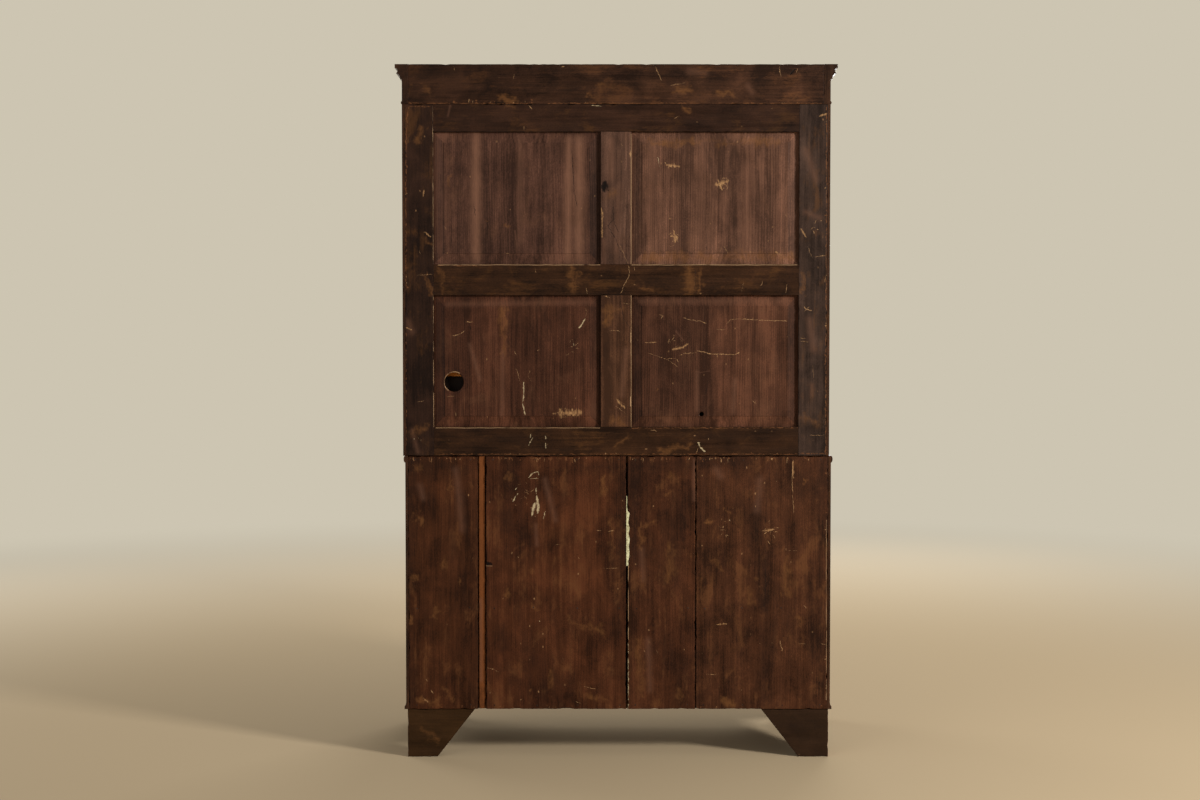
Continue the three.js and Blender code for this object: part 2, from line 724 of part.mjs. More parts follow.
// Chest carcass, with dust boards between the rows of drawers
const bottomRowBase = lowerBase + LOWER_BOTTOM_THICKNESS;
const topRowTop = lowerTop - LOWER_TOP_THICKNESS;
const rowsHeight = topRowTop - bottomRowBase - 2 * DUST_BOARD_THICKNESS;
const lowerDustBase = bottomRowBase + BOTTOM_ROW_SHARE * rowsHeight;
const middleRowBase = lowerDustBase + DUST_BOARD_THICKNESS;
const upperDustBase = middleRowBase + MIDDLE_ROW_SHARE * rowsHeight;
const topRowBase = upperDustBase + DUST_BOARD_THICKNESS;

function lowerSide(side) {
  const board = box(side * insideHalf, side * halfWidth, front, back, lowerBase, lowerTop);
  const rebate = box(
    side * (insideHalf - OVERRUN), side * backHalf,
    lowerBackInner, back + OVERRUN,
    lowerBase - OVERRUN, lowerTop + OVERRUN,
  );
  return board.subtract(rebate);
}

function lowerBoard(z0, z1) {
  return box(-insideHalf, insideHalf, front, lowerBackInner, z0, z1);
}

function waistOutline() {
  const beadBase = lowerTop - WAIST_HEIGHT;
  const outline = new THREE.Shape();
  outline.moveTo(0, beadBase);
  outline.absellipse(
    0, beadBase + WAIST_HEIGHT / 2, WAIST_PROJECTION, WAIST_HEIGHT / 2, -Math.PI / 2, Math.PI / 2, false,
  );
  outline.closePath();
  return outline;
}

function baseOutline() {
  const outline = new THREE.Shape();
  outline.moveTo(0, lowerBase);
  outline.lineTo(BASE_PROJECTION, lowerBase);
  outline.lineTo(BASE_PROJECTION, lowerBase + BASE_HEIGHT / 3);
  outline.quadraticCurveTo(0, lowerBase + BASE_HEIGHT / 2, 0, lowerBase + BASE_HEIGHT);
  outline.closePath();
  return outline;
}

function addLowerCarcass() {
  const halfPartition = PARTITION_THICKNESS / 2;
  const partition = box(-halfPartition, halfPartition, front, lowerBackInner, upperDustBase, topRowTop);
  addPiece("lower_left_side", lowerSide(-1), carcassWood, chest);
  addPiece("lower_right_side", lowerSide(1), carcassWood, chest);
  addPiece("lower_top_board", lowerBoard(topRowTop, lowerTop), carcassWood, chest);
  addPiece("lower_bottom_board", lowerBoard(lowerBase, bottomRowBase), carcassWood, chest);
  addPiece("lower_dust_board", lowerBoard(lowerDustBase, middleRowBase), carcassWood, chest);
  addPiece("upper_dust_board", lowerBoard(upperDustBase, topRowBase).add(partition), carcassWood, chest);
  addPiece("waist_moulding", surround(waistOutline(), halfWidth, front, back), corniceWood, chest);
  addPiece("base_moulding", surround(baseOutline(), halfWidth, front, back), corniceWood, chest);
}

// Boarded back of the chest, from the right-hand side of the front to the left
function addBoardedBack() {
  const joints = STRIP_WIDTH + 2 * STRIP_GAP + OPEN_JOINT + TIGHT_JOINT;
  const boards = 2 * backHalf - joints;
  const after = [2 * STRIP_GAP + STRIP_WIDTH, OPEN_JOINT, TIGHT_JOINT];
  let edge = backHalf;
  BACK_BOARD_SHARES.forEach((share, index) => {
    const isLast = index === BACK_BOARD_SHARES.length - 1;
    const far = isLast ? -backHalf : edge - share * boards;
    const solid = box(far, edge, lowerBackInner, back, lowerBase, lowerTop);
    addPiece(`lower_back_board_${index + 1}`, solid, rawBoardWood, chest);
    if (index === 0) {
      const stripEdge = far - STRIP_GAP;
      const strip = box(
        stripEdge - STRIP_WIDTH, stripEdge, lowerBackInner, lowerBackInner + STRIP_THICKNESS, lowerBase, lowerTop,
      );
      addPiece("lower_back_strip", strip, stripWood, chest);
    }
    edge = isLast ? far : far - after[index];
  });
}

// Drawers, each a beaded front with turned knobs and a box with its floor let in above the runners
function drawerFront(x0, x1, z0, z1, knobPlaces) {
  const left = x0 + DRAWER_GAP;
  const right = x1 - DRAWER_GAP;
  const base = z0 + DRAWER_GAP;
  const top = z1 - DRAWER_GAP;
  const proud = front - COCK_BEAD_PROJECTION;
  const slab = box(left, right, proud, front + DRAWER_FRONT_THICKNESS, base, top);
  const field = box(
    left + COCK_BEAD_WIDTH, right - COCK_BEAD_WIDTH,
    proud - OVERRUN, front,
    base + COCK_BEAD_WIDTH, top - COCK_BEAD_WIDTH,
  );
  const centreZ = (z0 + z1) / 2;
  return knobPlaces.reduce(
    (solid, x) => solid.add(knob(x, front, centreZ, DRAWER_KNOB_RADIUS, DRAWER_KNOB_PROJECTION)),
    slab.subtract(field),
  );
}

function drawerBox(x0, x1, z0, z1) {
  const left = x0 + DRAWER_GAP;
  const right = x1 - DRAWER_GAP;
  const boxFront = front + DRAWER_FRONT_THICKNESS;
  const boxBack = lowerBackInner - DRAWER_BACK_GAP;
  const base = z0 + FIT;
  const top = z1 - DRAWER_TOP_GAP;
  const floorBase = base + DRAWER_FLOOR_RAISE;
  const floorTop = floorBase + DRAWER_FLOOR_THICKNESS;
  const innerLeft = left + DRAWER_SIDE_THICKNESS;
  const innerRight = right - DRAWER_SIDE_THICKNESS;
  const innerFront = boxFront + DRAWER_SIDE_THICKNESS;
  const innerBack = boxBack - DRAWER_SIDE_THICKNESS;
  const body = box(left, right, boxFront, boxBack, base, top);
  const hollow = box(innerLeft, innerRight, innerFront, innerBack, floorTop, top + OVERRUN);
  const under = box(innerLeft, innerRight, innerFront, boxBack + OVERRUN, base - OVERRUN, floorBase);
  return body.subtract(hollow).subtract(under);
}

function addDrawers() {
  const halfPartition = PARTITION_THICKNESS / 2;
  const shortMiddle = (insideHalf + halfPartition) / 2;
  const knobReach = LONG_DRAWER_KNOB_SHARE * 2 * insideHalf;
  const drawers = [
    ["left_short_drawer", -insideHalf, -halfPartition, topRowBase, topRowTop, [-shortMiddle]],
    ["right_short_drawer", halfPartition, insideHalf, topRowBase, topRowTop, [shortMiddle]],
    ["middle_long_drawer", -insideHalf, insideHalf, middleRowBase, upperDustBase, [-knobReach, knobReach]],
    ["bottom_long_drawer", -insideHalf, insideHalf, bottomRowBase, lowerDustBase, [-knobReach, knobReach]],
  ];
  for (const [name, x0, x1, z0, z1, knobPlaces] of drawers) {
    addPiece(`${name}_front`, drawerFront(x0, x1, z0, z1, knobPlaces), showWood, chest);
    addPiece(`${name}_box`, drawerBox(x0, x1, z0, z1), liningWood, chest);
  }
}

// Bracket feet: an ogee bracket on every side that shows and a plain sloping one at the back
function bracketOutline(along, shaped) {
  const span = FOOT_TOP_WIDTH - FOOT_BOTTOM_WIDTH;
  const place = ([inShare, upShare]) => [
    along(FOOT_BOTTOM_WIDTH + inShare * span),
    upShare * FOOT_HEIGHT,
  ];
  const outline = new THREE.Shape();
  outline.moveTo(along(0), 0);
  outline.lineTo(along(FOOT_BOTTOM_WIDTH), 0);
  if (shaped) {
    outline.quadraticCurveTo(...place(BRACKET_SHARES.ankle), ...place(BRACKET_SHARES.knee));
    outline.quadraticCurveTo(...place(BRACKET_SHARES.lobe), ...place(BRACKET_SHARES.lobeEnd));
    outline.lineTo(along(FOOT_TOP_WIDTH), BRACKET_SHARES.lobeEnd[1] * FOOT_HEIGHT);
  }
  outline.lineTo(along(FOOT_TOP_WIDTH), FOOT_HEIGHT);
  outline.lineTo(along(0), FOOT_HEIGHT);
  outline.closePath();
  return outline;
}

function foot(side, atBack) {
  const outerX = halfWidth - FOOT_SETBACK;
  const innerX = outerX - FOOT_THICKNESS;
  const outerY = atBack ? back - FOOT_SETBACK : front + FOOT_SETBACK;
  const inwardY = atBack ? -1 : 1;
  const innerY = outerY + inwardY * FOOT_THICKNESS;
  const across = bracketOutline((reach) => side * (outerX - reach), !atBack);
  const alongSide = bracketOutline((reach) => outerY + inwardY * reach, true);
  const endPlate = prismY(across, Math.min(outerY, innerY), Math.max(outerY, innerY));
  const sidePlate = prismX(alongSide, Math.min(side * outerX, side * innerX), Math.max(side * outerX, side * innerX));
  const block = box(
    side * (innerX + OVERRUN), side * (innerX - GLUE_BLOCK),
    innerY - inwardY * OVERRUN, innerY + inwardY * GLUE_BLOCK,
    GLUE_BLOCK_LIFT, FOOT_HEIGHT,
  );
  return endPlate.add(sidePlate).add(block);
}

function addFeet() {
  for (const [hand, side] of [["left", -1], ["right", 1]]) {
    addPiece(`front_${hand}_foot`, foot(side, false), corniceWood, chest);
    addPiece(`rear_${hand}_foot`, foot(side, true), rawBoardWood, chest);
  }
}

addCornice();
addUpperCarcass();
addFramedBack();
addDoors();
addTrays();
addLowerCarcass();
addBoardedBack();
addDrawers();
addFeet();

// The origin is on the floor, under the middle of the press as it stands with its doors open.
const openReach = pinY - pinReach - ASTRAGAL_WIDTH / 2;
press.position.y = -(openReach + back) / 2;

export default press;
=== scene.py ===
import json
import math
import random

import bmesh
import bpy
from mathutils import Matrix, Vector, noise


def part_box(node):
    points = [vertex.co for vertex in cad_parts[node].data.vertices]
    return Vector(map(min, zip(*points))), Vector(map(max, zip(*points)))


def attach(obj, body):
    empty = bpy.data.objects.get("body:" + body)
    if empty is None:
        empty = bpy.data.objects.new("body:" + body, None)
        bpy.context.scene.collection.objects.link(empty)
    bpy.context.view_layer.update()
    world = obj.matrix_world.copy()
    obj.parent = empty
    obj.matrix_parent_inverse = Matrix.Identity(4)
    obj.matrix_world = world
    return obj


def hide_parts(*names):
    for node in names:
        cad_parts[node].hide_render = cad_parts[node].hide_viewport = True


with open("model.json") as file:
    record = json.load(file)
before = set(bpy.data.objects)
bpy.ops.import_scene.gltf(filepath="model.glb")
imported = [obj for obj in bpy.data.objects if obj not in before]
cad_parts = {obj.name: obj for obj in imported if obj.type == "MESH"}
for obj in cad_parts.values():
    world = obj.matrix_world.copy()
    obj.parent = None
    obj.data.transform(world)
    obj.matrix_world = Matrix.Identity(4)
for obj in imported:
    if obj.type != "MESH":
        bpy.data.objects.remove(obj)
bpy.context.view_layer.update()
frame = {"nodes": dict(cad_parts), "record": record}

# The view from behind, in pixels of a 1200 x 800 frame and in metres
IMAGE_WIDTH = 1200
IMAGE_HEIGHT = 800
SENSOR_WIDTH = 36
LENS = 49.99
CAMERA_FROM_BACK = 5.0
CAMERA_X = 0.0484
CAMERA_HEIGHT = 1.2539
CAMERA_TILT = 0.03465
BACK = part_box("back_left_stile")[1].y
CAMERA_PLACE = Vector((CAMERA_X, BACK + CAMERA_FROM_BACK, CAMERA_HEIGHT))
PIXELS_PER_SLOPE = LENS / SENSOR_WIDTH * IMAGE_WIDTH
PIXEL_SIZE = CAMERA_FROM_BACK / PIXELS_PER_SLOPE

NODE_BODY = {
    node: body
    for body, members in frame["record"]["behaviour"]["bodies"].items()
    for node in members
}


def photo_point(pixel, depth=0.0):
    """The point of the back, or of a plane that far in front of it, that a pixel shows."""
    right = (pixel[0] - IMAGE_WIDTH / 2) / PIXELS_PER_SLOPE
    up = (IMAGE_HEIGHT / 2 - pixel[1]) / PIXELS_PER_SLOPE
    forward = Vector((0, -math.cos(CAMERA_TILT), -math.sin(CAMERA_TILT)))
    upward = Vector((0, -math.sin(CAMERA_TILT), math.cos(CAMERA_TILT)))
    ray = forward + Vector((-right, 0, 0)) + up * upward
    return CAMERA_PLACE + ray * ((BACK - depth - CAMERA_PLACE.y) / ray.y)


def paint(red, green, blue):
    """A colour as seen on a screen, 0 to 255, as the linear colour that shaders take."""
    def linear(value):
        share = value / 255
        return share / 12.92 if share <= 0.04045 else ((share + 0.055) / 1.055) ** 2.4
    return (linear(red), linear(green), linear(blue), 1.0)


class Shader:
    """Short calls that add nodes to a tree. A value is a number, a vector, a colour or a socket."""

    def __init__(self, tree):
        self.tree = tree

    def put(self, socket, value):
        if isinstance(value, bpy.types.NodeSocket):
            self.tree.links.new(value, socket)
        else:
            socket.default_value = value

    def add(self, kind, values=(), **settings):
        made = self.tree.nodes.new(kind)
        for key, setting in settings.items():
            setattr(made, key, setting)
        for key, value in dict(values).items():
            self.put(made.inputs[key], value)
        return made

    def math(self, operation, *values, clamp=False):
        made = self.add("ShaderNodeMath", enumerate(values), operation=operation, use_clamp=clamp)
        return made.outputs[0]

    def plus(self, total, *others):
        for other in others:
            total = self.math("ADD", total, other)
        return total

    def minus(self, first, second):
        return self.math("SUBTRACT", first, second)

    def times(self, first, second):
        return self.math("MULTIPLY", first, second)

    def vector(self, operation, *values):
        outputs = self.add("ShaderNodeVectorMath", enumerate(values), operation=operation).outputs
        return outputs["Value" if operation in ("LENGTH", "DOT_PRODUCT") else "Vector"]

    def scale(self, vector, factor):
        made = self.add("ShaderNodeVectorMath", {0: vector, "Scale": factor}, operation="SCALE")
        return made.outputs["Vector"]

    def parts(self, vector):
        return self.add("ShaderNodeSeparateXYZ", {0: vector}).outputs

    def join(self, *values):
        return self.add("ShaderNodeCombineXYZ", enumerate(values)).outputs[0]

    def noise(self, point, detail=2, roughness=0.5, distortion=0, scale=1, output=0):
        values = dict(Vector=point, Scale=scale, Detail=detail, Roughness=roughness, Distortion=distortion)
        return self.add("ShaderNodeTexNoise", values).outputs[output]

    def ramp(self, *values):
        """A smooth step of a value from a low to a high place, and what it goes from and to there."""
        return self.add("ShaderNodeMapRange", enumerate(values), interpolation_type="SMOOTHSTEP").outputs[0]

    def mix(self, share, first, second):
        return self.add("ShaderNodeMix", {0: share, 6: first, 7: second}, data_type="RGBA").outputs[2]

    def cover(self, colour, mark, weight, paint_over):
        """A colour with another laid over it where a mark is, as strongly as the weight says."""
        return self.mix(self.times(mark, weight), colour, paint_over)

    def group(self, group, **values):
        return self.add("ShaderNodeGroup", values, node_tree=group).outputs

    def place(self):
        """The point that is being shaded, in the frame's metres with every body at rest."""
        return self.add("ShaderNodeTexCoord").outputs["Object"]

    def finish(self, surface, colour, roughness, height, strength, distance):
        """Gives a surface its colour, roughness and relief."""
        bump = self.add("ShaderNodeBump", dict(Strength=strength, Distance=distance, Height=height))
        ends = {"Base Color": colour, "Roughness": roughness, "Normal": bump.outputs[0]}
        for key, value in ends.items():
            self.put(surface.inputs[key], value)


def new_group(name, inputs, outputs):
    """A node group with named sockets, its shader helper, its inputs and its output node."""
    group = bpy.data.node_groups.new(name, "ShaderNodeTree")
    for way, wanted in (("INPUT", inputs), ("OUTPUT", outputs)):
        for label, kind in wanted.items():
            group.interface.new_socket(name=label, in_out=way, socket_type="NodeSocket" + kind)
    shader = Shader(group)
    return group, shader, shader.add("NodeGroupInput").outputs, shader.add("NodeGroupOutput").inputs


def sockets(kind, names):
    """Names of sockets, all of one kind."""
    return dict.fromkeys(names.split(), kind)


# Layers of the wood figure: repeats per metre across and along the grain, detail, roughness and distortion
LAYERS = {
    "bands": ((10, 10, 0.6), 3, 0.6),
    "streaks": ((70, 70, 3.2), 3, 0.6),
    "fibres": ((330, 330, 11), 3, 0.65),
    "clouds": ((13, 13, 9), 5, 0.62, 0.4),
    "patches": ((14, 14, 9), 5, 0.66, 0.6),
    "grime": ((7, 7, 3.6), 5, 0.65, 0.3),
    "fray": ((260, 260, 70), 3, 0.7),
    "grit": ((520, 520, 210), 2, 0.7),
    "warp": ((5, 5, 1.3), 2, 0.5),
}
SEED_STEPS = (3.71, 5.13, 7.37)
SOIL_COLOUR = paint(24, 15, 10)
NICK_COLOUR = paint(150, 112, 76)
WEAR_COLOUR = paint(128, 84, 50)

# Growth rings: how far they stretch along the grain, their width, how they wander and where late wood lies
RING_STRETCH = (1, 1, 0.085)
RING_WIDTH = 0.0062
RING_WANDER = 0.034
LATE_WOOD_RISE = (0.3, 0.9)
LATE_WOOD_FALL = (1.0, 0.92)

# Tone, where it turns from dark to middle to light, and where patches and grime begin and end
MIDDLE_TONE = 0.54
FIBRE_TONE = 0.75
GRIT_TONE = 0.95
DARK_TO_MIDDLE = (0.12, 0.52)
MIDDLE_TO_LIGHT = (0.5, 0.95)
PATCH_RANGE = (0.52, 0.74)
PATCH_STREAKS = 0.45
PATCH_FRAY = 0.25
GRIME_RANGE = (0.48, 0.72)
GRIME_STREAKS = 0.4

# Nicks: cells per metre, which of the cells have one, and how far it reaches from the cell's middle
NICK_FINENESS = (75, 75, 48)
NICK_CHOICE = (0.955, 0.985)
NICK_REACH = (0.2, 0.06)
NICK_FRAY = 0.5

# What the relief and the mottle are made of
RELIEF_SHARES = {"fibres": 0.5, "streaks": 0.5}
LATE_WOOD_RELIEF = 0.15
NICK_RELIEF = 0.9
MOTTLE_SHARES = {"streaks": 0.25, "fray": 0.25, "patches": 0.5}


def make_wood_group():
    """Figure, colour and relief of old sawn timber whose grain runs along the third axis."""
    inputs = sockets("Vector", "Grain Heart") | sockets("Color", "Dark Middle Light Patch")
    inputs |= sockets("Float", "Seed Bands Streaks Clouds Rings Patches Grime Nicks")
    outputs = sockets("Color", "Color") | sockets("Float", "Height Fray Mottle Streak")
    group, s, given, out = new_group("aged wood", inputs, outputs)
    shift = s.join(*[s.times(given["Seed"], step) for step in SEED_STEPS])
    place = s.vector("ADD", given["Grain"], shift)
    layers = {
        name: s.noise(s.vector("MULTIPLY", place, fineness), *look)
        for name, (fineness, *look) in LAYERS.items()
    }

    def centred(name, weight):
        return s.times(s.minus(layers[name], 0.5), weight)

    def blend(shares):
        return s.plus(*[s.times(layers[name], share) for name, share in shares.items()])

    from_heart = s.vector("MULTIPLY", s.vector("SUBTRACT", given["Grain"], given["Heart"]), RING_STRETCH)
    rings = s.plus(s.vector("LENGTH", from_heart), centred("warp", RING_WANDER))
    ring = s.math("FRACT", s.math("DIVIDE", rings, RING_WIDTH))
    late_wood = s.times(s.ramp(ring, *LATE_WOOD_RISE), s.ramp(ring, *LATE_WOOD_FALL))

    tone = s.plus(*[centred(name, given[name.title()]) for name in ("bands", "streaks", "clouds")])
    tone = s.plus(tone, centred("fibres", FIBRE_TONE), centred("grit", GRIT_TONE), MIDDLE_TONE)
    tone = s.minus(tone, s.times(late_wood, given["Rings"]))
    colour = s.mix(s.ramp(tone, *DARK_TO_MIDDLE), given["Dark"], given["Middle"])
    colour = s.mix(s.ramp(tone, *MIDDLE_TO_LIGHT), colour, given["Light"])
    ragged = s.plus(layers["patches"], centred("streaks", PATCH_STREAKS), centred("fray", PATCH_FRAY))
    colour = s.cover(colour, s.ramp(ragged, *PATCH_RANGE), given["Patches"], given["Patch"])
    smeared = s.plus(layers["grime"], centred("streaks", GRIME_STREAKS))
    colour = s.cover(colour, s.ramp(smeared, *GRIME_RANGE), given["Grime"], SOIL_COLOUR)

    nick_place = s.vector("MULTIPLY", place, NICK_FINENESS)
    cells = s.add("ShaderNodeTexVoronoi", dict(Vector=nick_place, Scale=1)).outputs
    chosen = s.ramp(s.parts(cells["Color"])[0], *NICK_CHOICE)
    near = s.ramp(s.plus(cells["Distance"], centred("fray", NICK_FRAY)), *NICK_REACH)
    nicked = s.times(s.times(chosen, near), given["Nicks"])

    height = s.plus(blend(RELIEF_SHARES), s.times(late_wood, LATE_WOOD_RELIEF))
    s.put(out["Color"], s.mix(nicked, colour, NICK_COLOUR))
    s.put(out["Height"], s.minus(height, s.times(nicked, NICK_RELIEF)))
    s.put(out["Fray"], layers["fray"])
    s.put(out["Mottle"], blend(MOTTLE_SHARES))
    s.put(out["Streak"], layers["streaks"])
    return group


# Next to nothing, which ties each mark to those before it, so that they are worked out one after another
HAIR = 1e-9

# Along a board's edges: how ragged they are, round which value, and where the wear starts to fade
EDGE_RAGGED = 5
EDGE_MIDDLE = 0.42
EDGE_CORE = 0.3


def make_mark_group():
    """Adds one mark, a line of wear or damage or of painted light or shade, to those carried along: 1 on the
    line, 0 past its radius, narrower at its ends.
    """
    inputs = sockets("Vector", "Point Start Run Share")
    inputs |= sockets("Float", "Carried Radius Taper Core Fray Ragged")
    group, s, given, out = new_group("mark", inputs, sockets("Float", "Mark"))
    point = s.scale(given["Point"], s.plus(s.times(given["Carried"], HAIR), 1))
    away = s.vector("SUBTRACT", point, given["Start"])
    share = s.math("ADD", s.vector("DOT_PRODUCT", away, given["Share"]), 0, clamp=True)
    gap = s.vector("LENGTH", s.vector("SUBTRACT", away, s.scale(given["Run"], share)))
    from_middle = s.math("ABSOLUTE", s.minus(s.times(share, 2), 1))
    width = s.minus(1, s.times(from_middle, given["Taper"]))
    torn = s.times(s.minus(given["Fray"], 0.5), given["Ragged"])
    reach = s.plus(s.math("DIVIDE", gap, s.times(given["Radius"], width)), torn)
    s.put(out["Mark"], s.math("MAXIMUM", given["Carried"], s.ramp(reach, 1, given["Core"])))
    return group


def make_edge_group():
    """How near a point is to its board's edges, seen square to its face: 1 at an edge, 0 past the reach."""
    inputs = sockets("Vector", "Point Low High") | sockets("Float", "Reach Fray")
    group, s, given, out = new_group("board edge", inputs, sockets("Float", "Sides Ends"))
    low = s.parts(s.vector("SUBTRACT", given["Point"], given["Low"]))
    high = s.parts(s.vector("SUBTRACT", given["High"], given["Point"]))
    torn = s.times(s.minus(given["Fray"], EDGE_MIDDLE), EDGE_RAGGED)
    for label, axis in (("Sides", 0), ("Ends", 2)):
        gap = s.math("MINIMUM", low[axis], high[axis])
        reach = s.plus(s.math("DIVIDE", gap, given["Reach"]), torn)
        s.put(out[label], s.ramp(reach, 1, EDGE_CORE))
    return group


WOOD = make_wood_group()
MARK = make_mark_group()
BOARD_EDGE = make_edge_group()


def table(fields, rows):
    """Rows of values as dictionaries that have the fields' names."""
    return {name: dict(zip(fields.split(), row)) for name, row in rows.items()}


# Woods: mean and rubbed colour, how dark and light the figure goes, the weight of each layer, and the finish
WOOD_LAYERS = "bands streaks clouds rings patches grime nicks"
WOODS = table("middle patch dark light " + WOOD_LAYERS + " roughness relief", {
    "frame": ((54, 34, 22), (92, 59, 30), 0.42, 1.75, 1, 0.8, 1.7, 0.05, 0.4, 0.4, 0.6, 0.5, 0.3),
    "panel": ((76, 50, 38), (100, 68, 48), 0.46, 1.95, 1.9, 1.05, 1.1, 0.16, 0.25, 0.25, 0.5, 0.5, 0.3),
    "board": ((66, 38, 23), (104, 66, 38), 0.42, 1.75, 1.1, 0.8, 1.7, 0.08, 0.48, 0.42, 0.8, 0.55, 0.35),
    "cornice": ((55, 34, 22), (98, 62, 36), 0.4, 1.8, 0.8, 0.65, 2.3, 0.04, 0.6, 0.55, 0.8, 0.5, 0.35),
    "strip": ((99, 56, 31), (118, 72, 44), 0.75, 1.25, 0.5, 0.5, 0.7, 0.05, 0.2, 0.2, 0.2, 0.6, 0.25),
    "foot": ((50, 32, 16), (72, 48, 26), 0.6, 1.4, 0.4, 0.9, 1.4, 0.03, 0.25, 0.35, 0.3, 0.5, 0.2),
    "side": ((74, 40, 25), (104, 62, 38), 0.45, 1.7, 1.2, 1, 0.6, 0.12, 0.15, 0.25, 0.3, 0.4, 0.12),
    "show": ((92, 48, 28), (138, 84, 50), 0.4, 1.8, 1, 1.1, 0.8, 0.22, 0.12, 0.15, 0.25, 0.34, 0.08),
    "lining": ((126, 88, 56), (150, 110, 72), 0.6, 1.45, 0.7, 0.8, 0.7, 0.14, 0.2, 0.25, 0.3, 0.6, 0.3),
    "inside": ((92, 60, 38), (112, 76, 48), 0.55, 1.5, 0.7, 0.8, 0.9, 0.1, 0.2, 0.35, 0.2, 0.6, 0.3),
    # shadowed: painted shade, a near-black wood for the rears of trays and drawer boxes, standing for the
    # dark inside
    "shadowed": ((26, 17, 12), (34, 22, 15), 0.6, 1.4, 0.5, 0.6, 0.7, 0.05, 0.2, 0.4, 0, 0.7, 0.2),
})

# Finish of all wood: relief in metres, sheen, polish, and how roughness follows the streaks
BUMP_DISTANCE = 0.0012
SHEEN_OF_WOOD = 0.08
COAT_ROUGHNESS = 0.22
ROUGH_STREAKS = (0.3, 0.7)
ROUGH_CHANGE = (-0.08, 0.1)
GRAIN_SWAPS = {"x": (2, 1, 0), "y": (0, 2, 1), "z": (0, 1, 2)}
PLAIN_HEART = (0.1, -0.09, 0.4)

# Wear along edges: its reach in metres, how much further soil goes, and the axes of a face by where it looks
EDGE_REACH = 0.0016
SOIL_SPREAD = 3
FACING_ORDERS = {"x": (1, 0, 2), "y": (0, 1, 2)}

# The sloping border of a panel, and painted light and shade: how its four parts differ in tone from its
# field as the key lamp falls on them
BORDER_REACH = 0.04
BORDER_LIGHT_AND_SHADE = {"low_x": 0.76, "high_x": 0.84, "low_z": 1.24, "high_z": 1.12}
BORDERED_WIDTH = 4 * BORDER_REACH
SAME_GAP = 0.0001

# Dirt round a knob: the length of the line that it is drawn from, its cover, and how soft and ragged it is
HAIR_LENGTH = 0.001
HALO_COVER = 0.5
HALO_CORE = -0.4
HALO_RAGGED = 2

# Mottled materials: a coarse and a fine noise, the fine one's share, where colours turn, then the relief
METAL_MOTTLE = ((5, 0.65, 0, 55), (4, 0.7, 0, 420), 0.25, (0.5, 0.78))
METAL_RELIEF = (0.2, 0.0004)
DULL_ROUGHNESS = 0.25
FILLER_MOTTLE = ((4, 0.65, 0, 160), (3, 0.7, 0, 900), 0.2, (0.45, 0.8))
FILLER_RELIEF = (0.4, 0.0006)
FILLER_COLOURS = (paint(214, 212, 172), paint(150, 140, 104))
FILLER_ROUGHNESS = 0.8
FILLER_SHEEN = 0.2


# Kinds of mark: colour, how much it covers, width, softness, taper, raggedness, how it strays, and its depth
MARK_KINDS = table("colour cover width core taper ragged stray depth", {
    # shade: dark marks; at the panels' margins they are painted shade and the frame's painted shadow,
    # elsewhere darker patches
    "shade": ((24, 15, 11), 0.55, 1.7, -0.9, 0.2, 1.6, "soft", 0),
    "haze": ((112, 78, 61), 0.56, 1.5, -0.9, 0, 1.6, "slight", 0),
    "band": ((126, 89, 70), 0.8, 1.3, -0.4, 0.2, 1.8, "slight", 0),
    "blotch": ((124, 82, 46), 0.48, 1.9, -0.8, 0.2, 6.5, "soft", 0),
    "edge": ((112, 72, 44), 0.65, 0.75, 0, 0, 11, "fine", 0),
    "scuff": ((180, 138, 94), 0.6, 1.25, -0.2, 0.4, 4, "fine", 0.3),
    # rim: pale lines along edges that face the key lamp: painted highlight where the light catches them, on
    # arrises worn pale
    "rim": ((180, 146, 110), 0.85, 1, 0.1, 0, 2, "slight", 0),
    "scratch": ((172, 134, 94), 0.7, 0.8, 0.1, 0.6, 3.2, "fine", 0.5),
    "drip": ((190, 172, 136), 0.8, 1, 0.1, 0.5, 4, "fine", -0.3),
    # lit_band: painted light, a bright band where light would fall on a tray's rear, seen through the cable
    # hole
    "lit_band": ((206, 128, 58), 0.95, 1, 0.6, 0, 0.5, "slight", 0),
    "crack": ((9, 6, 5), 0.95, 0.9, 0.3, 0.5, 1.6, "fine", 1.5),
})
POINT_MARK_LENGTH = 0.001
CHAIN_TAPER_SHARE = 0.3

# How far marks stray from straight lines, in metres, and how fine that is, in repeats per metre
STRAYS = {"soft": (0.045, 48), "slight": (0.003, 20), "fine": (0.007, 130)}


def shade_of(colour, factor):
    """A linear colour made darker or lighter."""
    return tuple(min(1.0, value * factor) for value in colour[:3]) + (1.0,)


def emptied(owner, output_kind):
    """The shader helper of a material or a world without nodes, and the surface socket of its new output."""
    owner.use_nodes = True
    owner.node_tree.nodes.clear()
    s = Shader(owner.node_tree)
    return s, s.add(output_kind).inputs["Surface"]


def new_material(name):
    """A new material, its shader helper and its surface."""
    material = bpy.data.materials.new(name)
    s, end = emptied(material, "ShaderNodeOutputMaterial")
    surface = s.add("ShaderNodeBsdfPrincipled")
    s.put(end, surface.outputs[0])
    return material, s, surface


def paint_border_light_and_shade(s, point, board, colour):
    """Painted light and shade on the sloping borders of a panel, which meet in mitres: each part lighter or
    darker as the key lamp falls on it.
    """
    low = s.parts(s.vector("SUBTRACT", point, board[0]))
    high = s.parts(s.vector("SUBTRACT", board[1], point))
    gaps = {"low_x": low[0], "high_x": high[0], "low_z": low[2], "high_z": high[2]}
    nearest = s.math("MINIMUM", s.math("MINIMUM", low[0], high[0]), s.math("MINIMUM", low[2], high[2]))
    factor = 1
    for label, tone in BORDER_LIGHT_AND_SHADE.items():
        here = s.math("COMPARE", gaps[label], nearest, SAME_GAP)
        inside = s.times(here, s.math("LESS_THAN", gaps[label], BORDER_REACH))
        factor = s.plus(factor, s.times(inside, tone - 1))
    return s.scale(colour, factor)


